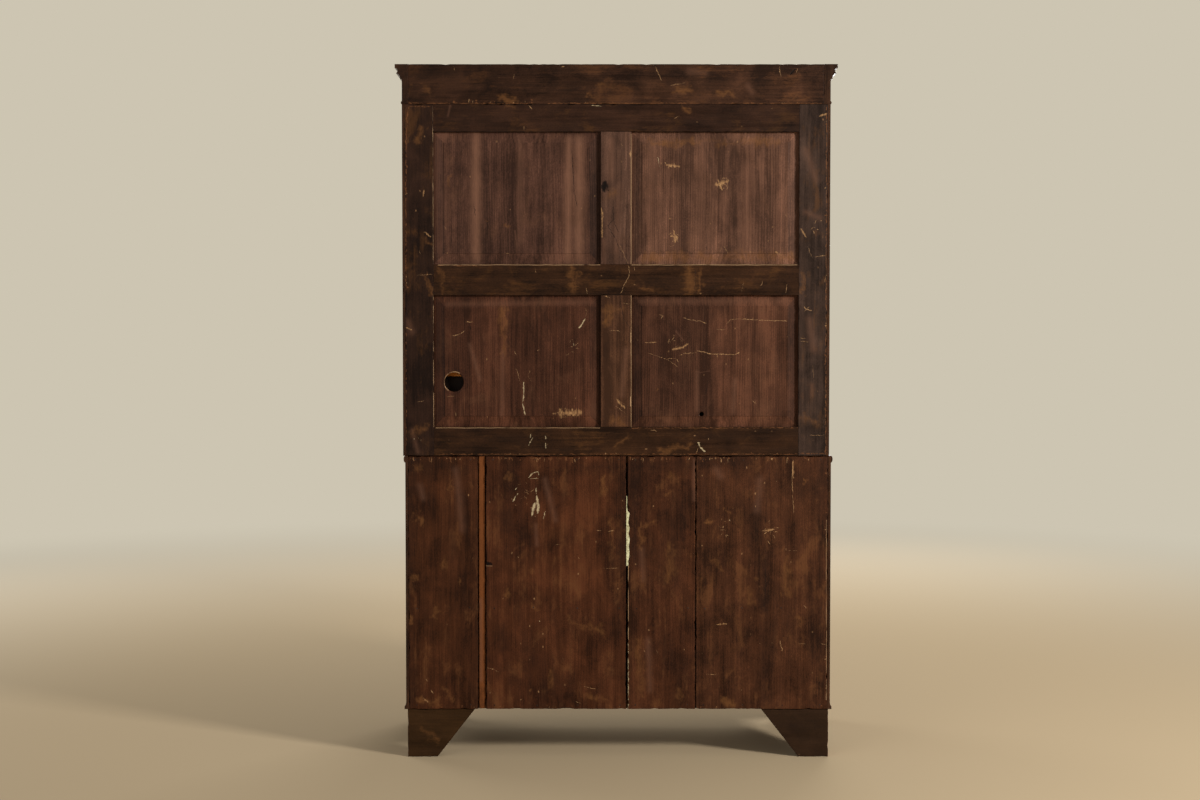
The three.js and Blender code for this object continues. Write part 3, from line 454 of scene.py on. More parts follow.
def lay_edges(s, axes, made, colour, board, facing, reach, soil, wear):
    """Soil, then wear, along a board's edges: each is a pair of covers, for its sides and for its ends."""
    order = FACING_ORDERS[facing]
    low, high = [tuple(corner[index] for index in order) for corner in board]
    seen = dict(Point=s.join(*[axes[index] for index in order]), Low=low, High=high, Fray=made["Fray"])
    for spread, covers, tone in ((SOIL_SPREAD, soil, SOIL_COLOUR), (1, wear, WEAR_COLOUR)):
        near = s.group(BOARD_EDGE, Reach=reach * spread, **seen)
        for edge, cover in zip(near, covers):
            if cover:
                colour = s.cover(colour, edge, cover, tone)
    return colour


def lay_halo(s, point, made, colour, centre, radius):
    """Dirt from hands round a knob."""
    around = s.group(
        MARK, Carried=0, Point=point, Start=centre, Run=(0, 0, HAIR_LENGTH), Share=(0, 0, 1 / HAIR_LENGTH),
        Radius=radius, Taper=0, Core=HALO_CORE, Fray=made["Mottle"], Ragged=HALO_RAGGED,
    )["Mark"]
    return s.cover(colour, around, HALO_COVER, SOIL_COLOUR)


def draw_mark(s, total, look, made, point, radius, places):
    """Adds one mark through its places to the total of its kind."""
    taper = look["taper"] if len(places) == 2 else look["taper"] * CHAIN_TAPER_SHARE
    for start, end in zip(places, places[1:]):
        run = end - start
        total = s.group(
            MARK, Carried=total, Point=point, Start=start, Run=run, Share=run / run.length_squared,
            Radius=radius * look["width"] * PIXEL_SIZE, Taper=taper, Core=look["core"],
            Fray=made["Fray" if look["stray"] == "fine" else "Mottle"], Ragged=look["ragged"],
        )["Mark"]
    return total


def lay_marks(s, point, made, marks, depth, colour, height):
    """Draws a board's marks over its colour and relief, one kind after another."""
    strayed = {}
    if marks:
        for label, (reach, fineness) in STRAYS.items():
            away = s.vector("SUBTRACT", s.noise(point, scale=fineness, output="Color"), (0.5, 0.5, 0.5))
            strayed[label] = s.vector("ADD", point, s.vector("MULTIPLY", away, (reach, 0, reach)))
    for kind, look in MARK_KINDS.items():
        total = 0
        for radius, *spots in marks.get(kind, ()):
            places = [photo_point(pixel, depth) for pixel in zip(spots[::2], spots[1::2])]
            if len(places) == 1:
                places.append(places[0] + Vector((0, 0, radius * POINT_MARK_LENGTH)))
            total = draw_mark(s, total, look, made, strayed[look["stray"]], radius, places)
        if kind in marks:
            colour = s.cover(colour, total, look["cover"], paint(*look["colour"]))
            if look["depth"]:
                height = s.minus(height, s.times(total, look["depth"]))
    return colour, height


def wood_material(name, kind, grain, seed, heart=PLAIN_HEART, tint=None, board=None, marks=None, depth=0,
                  gloss=0, side_wear=0, end_wear=0, side_soil=0, end_soil=0, reach=EDGE_REACH, lift=None,
                  facing="y", halos=()):
    """One board's wood. The board is its box, for wear along its edges, and marks lie on its back."""
    wood = WOODS[kind]
    middle = paint(*(tint or wood["middle"]))
    weights = {layer.title(): wood[layer] for layer in WOOD_LAYERS.split()}
    material, s, surface = new_material(name)
    point = s.place()
    axes = s.parts(point)
    made = s.group(
        WOOD, Grain=s.join(*[axes[index] for index in GRAIN_SWAPS[grain]]), Seed=seed, Heart=heart,
        Dark=shade_of(middle, wood["dark"]), Middle=middle, Light=shade_of(middle, wood["light"]),
        Patch=paint(*wood["patch"]), **weights,
    )
    colour = made["Color"]
    if board is not None:
        soil = (side_soil, end_soil)
        wear = (side_wear, end_wear)
        colour = lay_edges(s, axes, made, colour, board, facing, reach, soil, wear)
    # Painted light and shade on the sloping borders of a wide panel
    if kind == "panel" and board[1].x - board[0].x > BORDERED_WIDTH:
        colour = paint_border_light_and_shade(s, point, board, colour)
    # Painted light: a brightness that runs across the board, from lift[1] at its low x to lift[0] at its
    # high x
    if lift:
        colour = s.scale(colour, s.ramp(axes[0], board[0].x, board[1].x, lift[1], lift[0]))
    for halo in halos:
        colour = lay_halo(s, point, made, colour, *halo)
    colour, height = lay_marks(s, point, made, marks or {}, depth, colour, made["Height"])
    rough = s.ramp(made["Streak"], *ROUGH_STREAKS, *[wood["roughness"] + change for change in ROUGH_CHANGE])
    s.finish(surface, colour, rough, height, wood["relief"], BUMP_DISTANCE)
    surface.inputs["Specular IOR Level"].default_value = SHEEN_OF_WOOD
    surface.inputs["Coat Weight"].default_value = gloss
    surface.inputs["Coat Roughness"].default_value = COAT_ROUGHNESS
    return material


def mottle(s, coarse, fine, share, ends):
    """How far fine clouds turn from one colour to another, and the coarse and fine noise in them."""
    point = s.place()
    cloud = s.noise(point, *coarse)
    grain = s.noise(point, *fine)
    return s.ramp(s.plus(cloud, s.times(grain, share)), *ends), cloud, grain


def metal_material(name, bright, dull, roughness, metallic=1):
    """Old metal, brighter where it is handled and dull elsewhere."""
    material, s, surface = new_material(name)
    dulled, _, grain = mottle(s, *METAL_MOTTLE)
    rough = s.ramp(dulled, 0, 1, roughness, roughness + DULL_ROUGHNESS)
    s.finish(surface, s.mix(dulled, bright, dull), rough, grain, *METAL_RELIEF)
    surface.inputs["Metallic"].default_value = metallic
    return material


def filler_material():
    """Old greenish white filler, brushed and dusty."""
    material, s, surface = new_material("old_filler")
    dusty, cloud, _ = mottle(s, *FILLER_MOTTLE)
    s.finish(surface, s.mix(dusty, *FILLER_COLOURS), FILLER_ROUGHNESS, cloud, *FILLER_RELIEF)
    surface.inputs["Specular IOR Level"].default_value = FILLER_SHEEN
    return material


# Marks on the back, by board and kind: radius, then the x and y of each point, all in pixels of the view
MARKS = {
    "cornice_back_board": {
        "shade": [(5, 757, 87), (5, 601, 77, 606, 75)],
        "haze": [(5, 690, 71, 705, 73), (4, 748, 86, 752, 92)],
        "blotch": [
            (3, 405.5, 84, 405.5, 96), (4, 427.4, 89.5), (3.5, 601, 87, 612, 86), (2.5, 588, 95, 600, 97),
            (3, 500, 98, 512, 100), (3, 675, 90, 690, 89), (2.5, 716, 94, 735, 95), (2, 792, 97, 797, 96),
        ],
        "edge": [
            (0.7, 404, 103.2, 450, 103.4), (0.6, 454, 103.3, 530, 103.4), (0.6, 548, 103.4, 700, 103.4),
            (0.5, 712, 103.4, 830, 103.4),
        ],
        "scratch": [
            (0.7, 412.7, 76.3), (0.6, 453.6, 66, 454.6, 71), (0.5, 514, 74, 513.6, 79),
            (1, 562, 66.7, 565, 66.7), (0.5, 655.7, 67, 658, 73, 661.7, 80.5), (0.45, 670, 85.4, 685, 82.7),
            (0.5, 779, 66, 781, 76), (0.5, 798, 68, 796, 73),
        ],
        "crack": [(0.9, 790, 75, 795.5, 69)],
    },
    "back_top_rail": {
        "haze": [(1.4, 450, 106, 448, 116)],
        "blotch": [(1.5, 516, 108, 506, 106), (2, 683, 107, 689, 110)],
        "scratch": [(0.7, 528, 105, 532, 109), (0.5, 524, 126, 524, 130), (0.4, 674, 119, 679, 116)],
        "drip": [(0.6, 592, 105.8, 601, 105.8)],
    },
    "back_middle_rail": {
        "shade": [(2.5, 578.5, 266, 578, 278)],
        "blotch": [
            (4, 572, 268, 573, 291), (2, 578.5, 274, 577, 290), (2.2, 440, 268, 443, 292),
            (5, 689, 268, 690, 292), (2, 700, 272, 700, 290), (2.5, 640, 286, 655, 289),
        ],
        "edge": [(0.5, 436, 265.4, 480, 265.6)],
        "rim": [(0.4, 438, 264.9, 600, 264.9), (0.4, 632, 264.9, 797, 264.9)],
        "scratch": [
            (0.4, 787, 284, 786, 293), (0.4, 761, 286, 762.5, 281), (0.3, 744, 280, 741, 294),
            (0.35, 535.5, 268, 535.5, 273), (0.5, 586, 286, 587, 294), (0.4, 634, 267, 635, 271),
            (0.5, 628.8, 265.6, 629.6, 273, 626.6, 281), (0.45, 626.6, 281, 623.4, 287, 620.8, 293.6),
        ],
        "crack": [(0.7, 601, 279), (0.6, 613, 279), (0.4, 695.5, 270, 695, 290)],
    },
    "back_bottom_rail": {
        "shade": [(3, 560, 450, 600, 452)],
        "blotch": [(2.5, 625, 437, 615, 447), (2.5, 690, 446, 660, 450)],
        "edge": [
            (0.45, 632, 427.9, 797, 427.9), (0.5, 436, 454.2, 556, 454.2), (0.5, 560, 454.2, 798, 454.2),
        ],
        "rim": [(0.35, 436, 427.9, 600, 427.9)],
        "scratch": [
            (0.8, 650.5, 430, 656.5, 431.2), (0.5, 698.5, 448, 696, 453), (0.5, 709, 438, 708, 440),
        ],
        "drip": [
            (0.8, 530.8, 433.8, 530.3, 437), (0.5, 533, 437.5, 528, 446), (0.8, 545, 435.5, 545.8, 439),
            (0.7, 545.3, 443, 545.8, 448), (0.8, 698.4, 442.4, 700, 447, 704.4, 451.4),
        ],
    },
    "back_upper_muntin": {
        "shade": [(6.5, 604.5, 179, 605.5, 196), (3, 627, 206, 627.6, 246)],
        "haze": [(6, 611, 142, 612, 176), (5, 619, 186, 616, 250), (3, 604, 240, 604, 262)],
        "blotch": [(4.6, 606, 197, 612, 193.6)],
        "scuff": [(0.9, 602, 208, 602.2, 222, 602, 237), (1.3, 630.6, 151, 630.4, 156)],
        "rim": [(0.45, 631.2, 134, 631.2, 264), (0.5, 631.2, 146, 631.2, 158)],
        "scratch": [(0.6, 621.6, 143, 622, 146.4), (0.4, 619.6, 245, 627.6, 263)],
        "crack": [
            (6.5, 604.8, 183, 604.2, 190), (1.6, 608.6, 190.6), (0.45, 607.6, 225.6, 615, 218),
            (0.45, 607.6, 225.6, 615.6, 239.4, 620.6, 252), (0.35, 613, 206, 613.6, 221, 618, 232),
        ],
    },
    "back_lower_muntin": {
        "shade": [(4, 607, 345, 606, 360)],
        "haze": [(4, 626, 350, 622, 395)],
        "blotch": [(5, 605, 312, 622, 309), (3, 603, 323, 614, 316), (4, 613, 420, 622, 424)],
        "scuff": [(1.2, 617, 400, 625, 408)],
        "rim": [
            (0.5, 631.2, 295, 631.2, 427), (0.7, 630.9, 333, 630.9, 342), (0.8, 630.7, 397, 630.6, 406),
        ],
        "scratch": [
            (0.6, 603.5, 295.5, 610, 297.5), (0.4, 609, 330.5, 620, 330.6), (0.4, 623, 303, 630.5, 304),
            (0.35, 616, 398, 624, 404), (0.35, 613, 404, 626, 414), (0.35, 615, 330, 622, 332),
        ],
        "crack": [(0.35, 620.5, 297, 621, 305, 623.5, 318.4, 629.5, 327.4)],
    },
    "back_left_stile": {
        "shade": [(15, 811, 400, 811, 450), (9, 808, 292, 807, 338)],
        "haze": [
            (4, 806, 212, 820, 218), (3, 812, 385, 812, 395), (5, 806, 150, 816, 180),
            (5, 810, 320, 814, 350),
        ],
        "blotch": [(2, 803, 275, 801, 293), (4.5, 804, 419, 818, 423)],
        "edge": [
            (0.6, 826.8, 107, 826.2, 270), (0.8, 826.4, 280, 825.6, 454), (0.6, 800, 453.6, 824, 453.6),
            (0.5, 797.8, 296, 797.3, 452),
        ],
        "scuff": [(1.4, 820, 116, 826, 114), (1.1, 801, 229, 806, 237)],
        "scratch": [
            (0.8, 804, 307.2, 806.6, 309.6, 811.4, 310.4), (0.6, 804, 311, 809.4, 306.8),
            (0.4, 814, 256.6, 826, 255.6), (0.4, 800, 338, 806, 338.4), (0.35, 813, 366, 813.5, 378),
            (0.5, 825.6, 276, 825, 283), (0.3, 807, 244, 812, 258), (0.4, 809, 435.4, 824, 435.2),
            (0.3, 799, 341, 808, 342),
        ],
    },
    "back_right_stile": {
        "haze": [(5, 408, 322, 412, 332), (3, 412, 430, 418, 452)],
        "blotch": [
            (3, 424, 240, 431, 244), (4, 412, 434, 425, 428), (2.5, 409, 108, 407, 140),
            (3, 423, 127, 418, 141), (2, 425, 275, 432, 294),
        ],
        "edge": [
            (0.9, 408.4, 108, 406.6, 118, 406, 150), (0.7, 406, 150, 405.8, 290),
            (0.55, 405.8, 330, 406, 452), (0.6, 410, 106.6, 430, 106.4),
        ],
        "scuff": [(0.8, 424.5, 232, 431, 237), (1, 406, 328, 412, 329.5), (0.8, 423, 196, 424, 190)],
        "rim": [(0.55, 433, 105, 433.4, 264), (0.4, 433.4, 294.6, 433.8, 427)],
        "scratch": [
            (0.4, 416.4, 275.5, 434, 274), (0.5, 419.6, 250.5, 420.4, 254), (0.4, 404, 195, 408, 193),
            (0.4, 417, 402, 424, 401),
        ],
        "drip": [(0.9, 414.4, 439.3), (0.6, 418.6, 438.4), (0.6, 421.2, 440.2)],
        # A near-black line down the stile's outer edge, beside the side
        "crack": [(0.8, 403.8, 104, 403.6, 453)],
    },
    "back_panel_upper_right": {
        # The shade at x 447 paints shade on its left border, turned from the key lamp, and the one at x 595
        # the muntin's shadow
        "shade": [
            (9, 447, 140, 448, 258), (6, 459, 145, 459, 250), (8, 548, 150, 550, 258),
            (3, 485, 140, 486, 255), (6, 595, 136, 595, 262),
        ],
        "haze": [(5, 520, 136, 521, 240), (1.5, 515, 231, 517, 247)],
        "band": [(8, 476, 134, 476.5, 262), (7, 569, 138, 568, 262), (9, 579, 138, 579, 264)],
        "blotch": [(2, 506.8, 226), (1.6, 485.6, 221), (1.5, 449, 187, 452, 176)],
        "scuff": [(0.8, 447.4, 253, 447, 258), (0.6, 503, 254, 509, 253.6)],
        "scratch": [(0.7, 445, 227, 446, 230), (0.5, 529, 176.6), (0.5, 550, 195.6)],
        "crack": [
            (0.6, 440.4, 132, 441.2, 157, 439.6, 176), (0.4, 571.8, 150, 574, 190, 577, 206),
            (0.6, 474, 206, 475.4, 216),
        ],
    },
    "back_panel_upper_left": {
        # Shades at x 636.5 and 643 paint shade on its left border, turned from the key lamp, and at x 784
        # and 787 the stile's shadow
        "shade": [
            (4, 643, 145, 643, 255), (6, 784, 140, 785, 255), (9, 787, 140, 787, 255),
            (5, 636.5, 140, 636.5, 258), (3.5, 709, 150, 712, 195), (4.5, 735, 200, 736, 250),
            (3, 719, 246, 727, 250), (1.2, 642, 252.6, 690, 251.6, 740, 252.8),
        ],
        "haze": [
            (7, 652, 142, 652, 255), (8, 701, 142, 700, 255), (8, 748, 165, 746, 250),
            (4, 676, 190, 675, 250), (3, 759, 158, 762, 182), (1.2, 760, 152, 761, 164),
            (1.2, 765, 176, 766, 183),
        ],
        # The blotches along y 257 and y 141 paint light on its bottom and top borders
        "blotch": [(4.4, 646, 257, 716, 258), (4.4, 716, 258, 792, 257), (3.2, 650, 142, 782, 141)],
        "scuff": [
            (1.6, 667, 165, 679, 166.4), (2.4, 716, 185, 728, 181), (1, 718, 180, 722, 190),
            (1.6, 674, 231, 675.4, 242), (1, 671, 236, 678, 237), (0.9, 669, 218.7, 671, 219),
            (1.2, 776, 252, 783, 256),
        ],
        "scratch": [(0.4, 724, 246, 728, 254), (0.4, 720, 252, 722, 246), (0.4, 785, 214.5, 787, 216)],
        "drip": [(0.6, 658, 157.6, 659.6, 167.4)],
        "crack": [(0.3, 706.5, 228, 706, 262)],
    },
    "back_panel_lower_right": {
        # The shade at x 596 paints the shadow that the muntin casts at its right margin; the others are
        # darker streaks
        "shade": [
            (2, 508.4, 308, 508.6, 355), (3, 596, 300, 596, 424), (4, 546, 310, 548, 340),
            (2.2, 516, 416, 508, 418),
        ],
        # The haze along y 302 paints light on its top border
        "haze": [(3, 503, 352, 502, 415), (4, 448, 304, 592, 302), (3, 470, 345, 480, 380)],
        "blotch": [(3.4, 504, 310, 503.6, 352)],
        "scuff": [
            (4.4, 561, 413, 569, 413), (3.8, 569, 413.4, 581, 412.4), (2.6, 560, 410, 561, 417),
            (1.2, 553, 413.6, 556, 413.6),
        ],
        "scratch": [
            (0.5, 514.4, 351, 516, 355), (0.5, 516.2, 368.9, 518, 374, 519.8, 381.3),
            (0.35, 530, 369.6, 528, 376, 531, 381.5), (0.35, 585, 318.8, 586.6, 313, 585.6, 308),
            (0.6, 466, 322, 473.6, 322), (0.45, 453, 335.7, 459, 334.5, 465, 331), (0.6, 504.7, 310.7),
            (0.5, 455.6, 412, 456, 417), (0.4, 447, 396.5, 456, 396), (0.5, 537, 350.4, 540, 350),
            (0.35, 590, 370, 591.5, 378),
        ],
        "drip": [
            (0.6, 523.6, 383, 523.8, 394, 522.6, 403.3, 525, 415),
            (0.8, 579.2, 327.6, 582, 324.2, 585, 318.8), (0.6, 573.4, 343.5, 573.4, 346),
        ],
        "crack": [(1, 470.3, 326, 470.6, 330)],
    },
    "back_panel_lower_left": {
        # The shade at x 636 paints shade on its left border, turned from the key lamp, and the one at x 790
        # the stile's shadow
        "shade": [
            (1.5, 688, 333, 687, 343), (3, 636, 300, 636, 424), (3.5, 790, 310, 791, 424),
            (1, 767, 409, 766.6, 424), (14, 752, 315, 754, 410), (2, 704, 412, 704, 418),
        ],
        # The haze along y 301 paints light on its top border
        "haze": [
            (0.5, 697, 373, 709.7, 371), (4, 642, 301, 788, 301), (1.2, 676, 331, 683, 340),
            (3, 697, 372, 697, 410), (3, 735, 380, 733, 412),
        ],
        "blotch": [(1.4, 659, 390)],
        "scuff": [(0.8, 646, 342.6, 656, 342.2), (1.1, 673, 349.5, 683.4, 347.2, 687.2, 344.2)],
        "scratch": [
            (0.5, 727, 323.7, 730, 320, 737.4, 318.7, 760, 320.2, 787, 321),
            (0.5, 683.4, 317.7, 691, 320, 700, 321, 706, 323), (0.4, 716, 329.4, 725.4, 329.8),
            (0.5, 659.5, 314.6, 663, 315.4, 661, 319), (0.5, 679.6, 356, 683.4, 353.6, 697, 352.5),
            (0.6, 697, 350.6, 712, 354, 734.4, 354.7, 739, 352.5),
            (0.35, 649, 353.2, 668.5, 360, 678.2, 367.5), (0.35, 667, 358.5, 676, 358.6, 679, 362),
            (0.4, 751, 400, 757, 404), (0.4, 756, 399.6, 755, 404.4), (0.7, 722.4, 390.7),
            (0.7, 700.4, 415), (0.4, 785, 336.6, 794, 336.6), (0.4, 646.5, 421, 647, 416),
        ],
        "crack": [(0.3, 708, 380, 704, 404)],
    },
    "lower_back_board_1": {
        "shade": [
            (5, 406.6, 462, 406, 590, 406.6, 700), (6, 440, 466, 470, 470), (6, 411, 460, 411, 560),
            (4, 410, 560, 410, 700),
        ],
        "haze": [(4, 420, 486, 423, 498), (5, 456, 470, 462, 530)],
        "blotch": [
            (2.4, 419.2, 466, 418.6, 471), (1.8, 452.6, 482, 449, 490), (2.6, 417.5, 515, 420.4, 523),
            (1.8, 459, 579, 461, 584), (2.6, 411, 579, 416, 579), (3.4, 436, 608, 435, 616),
            (3.2, 420, 700, 438, 703), (2.4, 444, 690, 452, 700), (2.5, 445, 560, 444, 566),
            (2, 409, 616, 409.6, 621),
        ],
        "scuff": [(1.2, 423.6, 698, 427.4, 702)],
        "scratch": [
            (0.6, 426, 679, 428, 682), (0.8, 431, 690, 433.4, 693.4), (0.5, 472.4, 557, 472.8, 559),
            (0.7, 407, 596.6, 409, 597),
        ],
    },
    "lower_back_board_2": {
        "shade": [
            (8, 584, 466, 621, 467), (4, 619, 470, 619.6, 560), (4, 622, 460, 622, 560),
            (9, 500, 500, 503, 530), (7, 506, 548, 512, 556), (8, 500, 628, 503, 650),
        ],
        "haze": [(4, 545, 480, 555, 520), (3, 536, 525, 537, 545)],
        "blotch": [
            (2.8, 508.4, 474, 510, 481), (3.2, 604.3, 478, 604.8, 494), (2.4, 613, 588, 617, 589),
            (2.4, 530, 569, 531.6, 573), (2.4, 534, 605, 537, 609), (1.6, 529.4, 691),
            (4, 590, 625, 600, 633), (3, 568, 618, 584, 628), (3, 586, 694, 606, 700),
            (3, 612, 520, 612, 560), (2, 507, 590, 506.6, 596), (3.4, 552, 672, 552, 688),
        ],
        "rim": [(0.4, 486, 565.8, 492.4, 566)],
        "scratch": [
            (0.5, 594.8, 530.6, 601.3, 530.4), (0.6, 608, 531.4, 614.6, 530.4),
            (0.6, 517.4, 556.6, 518.6, 557.6), (0.6, 578.6, 556.6, 579, 558.6),
            (0.5, 486, 667.6, 493.4, 669.2, 498.7, 672.2), (0.5, 562.4, 657.2, 564.2, 662.5),
            (0.45, 584, 686.2, 590, 688, 597.6, 689.4), (0.5, 575.9, 701.4, 580.3, 703.7),
            (0.6, 552.6, 687.4), (0.4, 555, 545, 560, 544.4), (0.4, 603, 568.6, 618, 568),
        ],
        "drip": [
            (0.6, 528.6, 477.4, 533, 473, 537.8, 471.6, 539, 475), (0.4, 530, 479, 538, 478.4),
            (0.6, 513, 501.6, 515.6, 496.6, 518, 493.6), (0.4, 515, 490, 517.6, 487),
            (0.7, 536, 488.2, 536.8, 494), (1.9, 537, 496, 538.2, 509), (1.9, 535, 503, 531.8, 515.4),
            (1.4, 539, 504, 537.4, 513.6), (0.6, 543.4, 519.4, 545, 511.5), (0.5, 535.4, 516.4),
            (0.8, 539.8, 621.4),
        ],
        "crack": [(3.4, 485.2, 562.6, 491.4, 564.4)],
    },
    "lower_back_board_3": {
        "shade": [
            (9, 632, 466, 692, 465), (4.5, 634, 476, 635, 560), (6, 634, 462, 636, 510),
            (3, 683, 500, 684, 540),
        ],
        "haze": [(4, 642, 550, 643, 580), (4, 648, 640, 650, 690), (2.4, 694, 460, 694, 500)],
        "blotch": [
            (2.6, 669, 474, 677, 478), (2.2, 665.5, 494, 673, 492.6), (2.4, 646, 527, 655, 522),
            (2, 642, 525, 641, 548), (5, 672, 548, 668, 580), (5, 638, 640, 641, 690),
            (3, 655, 700, 657, 706), (3, 679, 690, 680, 698),
        ],
        "edge": [(0.4, 695.2, 460, 695.4, 560)],
        "rim": [(0.45, 628.4, 566, 628.3, 640)],
        "scratch": [(0.5, 693.4, 554), (0.4, 657, 650, 658, 655), (0.5, 655.4, 480.4)],
        "drip": [(0.55, 628.3, 628, 628.2, 709)],
    },
    "lower_back_board_4": {
        "shade": [
            (6.5, 700, 464, 744, 462), (4.5, 820, 480, 821, 690), (5, 822, 462, 822, 560),
            (4, 812, 560, 812, 660), (4, 766, 560, 765, 610), (5, 762, 672, 760, 700),
        ],
        "haze": [(5, 716, 470, 720, 476), (5, 760, 480, 757, 510)],
        "blotch": [
            (2, 706, 522, 713, 520), (1.4, 725, 511), (1.4, 730, 512.6), (2.6, 713, 560, 719, 568),
            (1.6, 777, 702, 777.4, 708), (4, 748, 590, 750, 604), (5, 786, 560, 788, 590),
            (2.4, 754, 579, 757, 577), (3, 722, 700, 735, 706), (3, 796, 615, 802, 625),
            (1.5, 803, 478, 806, 484),
        ],
        "edge": [(0.4, 697, 460, 697, 500)],
        "scuff": [(0.9, 762, 531, 774, 529.4), (1, 793, 462, 793.4, 478), (0.6, 716, 624.6, 727, 623.8)],
        "rim": [(0.35, 826.4, 520, 826.4, 700)],
        "scratch": [
            (0.8, 776.4, 481.5), (0.5, 793, 460, 792, 480, 793.6, 513), (0.35, 783, 550.4, 799.6, 550.6),
            (0.6, 803.6, 605.4, 806, 608.4), (0.6, 780, 641.5, 781, 646, 782.6, 650.6),
            (0.35, 706, 674.2, 718, 674.6), (0.5, 759, 643.6, 761, 644), (0.5, 771, 643, 773, 643.4),
            (0.4, 798, 643.8, 806, 644), (0.45, 820, 643, 826, 645),
        ],
        "drip": [(0.9, 729.6, 520.4)],
        "crack": [(0.3, 728, 460, 729, 490), (0.3, 766, 535, 765.6, 600)],
    },
    "lower_back_strip": {
        "shade": [(3, 480, 690, 480, 706)],
        "haze": [(3, 481, 600, 481, 680)],
    },
    "rear_right_foot": {
        "blotch": [(4, 420, 730, 435, 738)],
        "scratch": [(0.6, 467.4, 719.6, 466.4, 721.4)],
    },
    "rear_left_foot": {
        "shade": [(8, 790, 725, 800, 735)],
        "scratch": [(0.5, 798, 754, 801, 754.4)],
    },
}

# Arcs round the cable hole: kind, radius, distance from its middle, start and end in degrees from the top
HOLED_PANEL = "back_panel_lower_right"
CABLE_HOLE = (454.7, 382.1)
# The rim arcs paint a highlight where the hole's edge catches the light, and the shade arc paints shade
# round the rest of it
HOLE_ARCS = (("rim", 0.65, 10.1, -65, 28), ("rim", 1.2, 10.1, -140, -42), ("shade", 1, 11.1, 60, 230))
ARC_STEPS = 8

# Edges with small chips: board, ends of the edge, how far the chips reach from it, and how many there are
CHIPPED_EDGES = (
    ("cornice_back_board", (446, 102.6), (540, 102.9), -4, 14),
    ("cornice_back_board", (548, 103), (830, 103), -1.6, 14),
    ("back_bottom_rail", (440, 454.4), (625, 454.2), -2, 10),
    ("back_bottom_rail", (630, 454.2), (798, 454), -1.6, 10),
    ("back_right_stile", (406, 106), (406, 300), 2.6, 10),
    ("back_left_stile", (827, 120), (826, 450), -2.6, 14),
    ("lower_back_board_1", (407, 457.8), (474, 457.8), 5.5, 22),
    ("lower_back_board_2", (488, 457.8), (622, 457.8), 5.5, 36),
    ("lower_back_board_3", (629, 457.8), (693, 457.8), 5.5, 20),
    ("lower_back_board_4", (699, 457.8), (824, 457.8), 5.5, 34),
    ("lower_back_board_1", (408, 707.5), (474, 707.5), -2.5, 6),
    ("lower_back_board_2", (488, 707.5), (622, 707.5), -2.5, 9),
    ("lower_back_board_4", (699, 707.5), (824, 707.5), -2.5, 9),
    ("lower_back_board_4", (826.5, 470), (826.5, 700), -2.5, 10),
)
CHIP_KINDS = ("scratch", "edge", "edge")
CHIP_LEAST = 0.15
CHIP_SWAY = 0.9
CHIP_RADII = (0.35, 0.85)

# Patches rubbed by many fine scratches: board, middle, spread across and up, and how many
RUBBED = (
    ("back_panel_upper_left", (724, 182), (9, 7), 16), ("back_panel_upper_left", (674, 236), (5, 10), 12),
    ("back_panel_upper_left", (671, 165), (9, 3), 9), ("back_panel_lower_right", (569, 413), (13, 5), 10),
    ("back_panel_lower_left", (676, 340), (12, 9), 9), ("back_panel_lower_right", (573, 348), (8, 12), 7),
    ("lower_back_board_2", (528, 494), (11, 14), 12), ("lower_back_board_4", (720, 526), (8, 11), 8),
    ("lower_back_board_4", (768, 530), (10, 9), 9), ("back_left_stile", (816, 225), (6, 9), 6),
)
RUB_SCATTER = 0.45
RUB_LENGTHS = (1.5, 5.5)
RUB_RADII = (0.3, 0.65)


def add_mark(board, kind, radius, *spots):
    """Adds a mark to a board's; its spots are the x and y of each point in turn."""
    MARKS.setdefault(board, {}).setdefault(kind, []).append((radius, *spots))


def arc(distance, start, end):
    """The x and y in turn of points round part of the cable hole."""
    spots = []
    for step in range(ARC_STEPS + 1):
        angle = math.radians(start + (end - start) * step / ARC_STEPS)
        spots += (CABLE_HOLE[0] + distance * math.sin(angle), CABLE_HOLE[1] - distance * math.cos(angle))
    return spots


def chip_edge(seed, board, start, end, reach, count):
    """Short marks that start at an edge, irregular in place, length and width."""
    dice = random.Random(seed)
    level = abs(end[0] - start[0]) > abs(end[1] - start[1])
    for number in range(count):
        share = dice.random()
        x, y = [first + (last - first) * share for first, last in zip(start, end)]
        deep = reach * (CHIP_LEAST + (1 - CHIP_LEAST) * dice.random() ** 2)
        aside = dice.uniform(-CHIP_SWAY, CHIP_SWAY)
        tip = (x + aside, y + deep) if level else (x + deep, y + aside)
        add_mark(board, CHIP_KINDS[number % len(CHIP_KINDS)], dice.uniform(*CHIP_RADII), x, y, *tip)


def rub(seed, board, middle, spread, count):
    """A patch of fine scratches that cross each other."""
    dice = random.Random(seed)
    for _ in range(count):
        x, y = [centre + dice.gauss(0, RUB_SCATTER) * side for centre, side in zip(middle, spread)]
        turn = dice.uniform(0, math.pi)
        length = dice.uniform(*RUB_LENGTHS)
        tip = (x + length * math.cos(turn), y + length * math.sin(turn))
        add_mark(board, "scratch", dice.uniform(*RUB_RADII), x, y, *tip)


for kind, radius, *bounds in HOLE_ARCS:
    add_mark(HOLED_PANEL, kind, radius, *arc(*bounds))
for number, edge in enumerate(CHIPPED_EDGES):
    chip_edge(number, *edge)
for number, patch in enumerate(RUBBED, start=len(CHIPPED_EDGES)):
    rub(number, *patch)

# What the boards of the back have in common: wood, grain, then wear and soil along their sides and ends
STILE = dict(kind="frame", grain="z", side_soil=0.4)
RAIL = dict(kind="frame", grain="x", end_soil=0.4)
MUNTIN = dict(kind="panel", grain="z", side_soil=0.4)
PANEL = dict(kind="panel", grain="z", side_soil=0.6)
BOARD = dict(kind="board", grain="z", end_wear=0.15, side_soil=0.5)
FOOT = dict(kind="foot", grain="x")

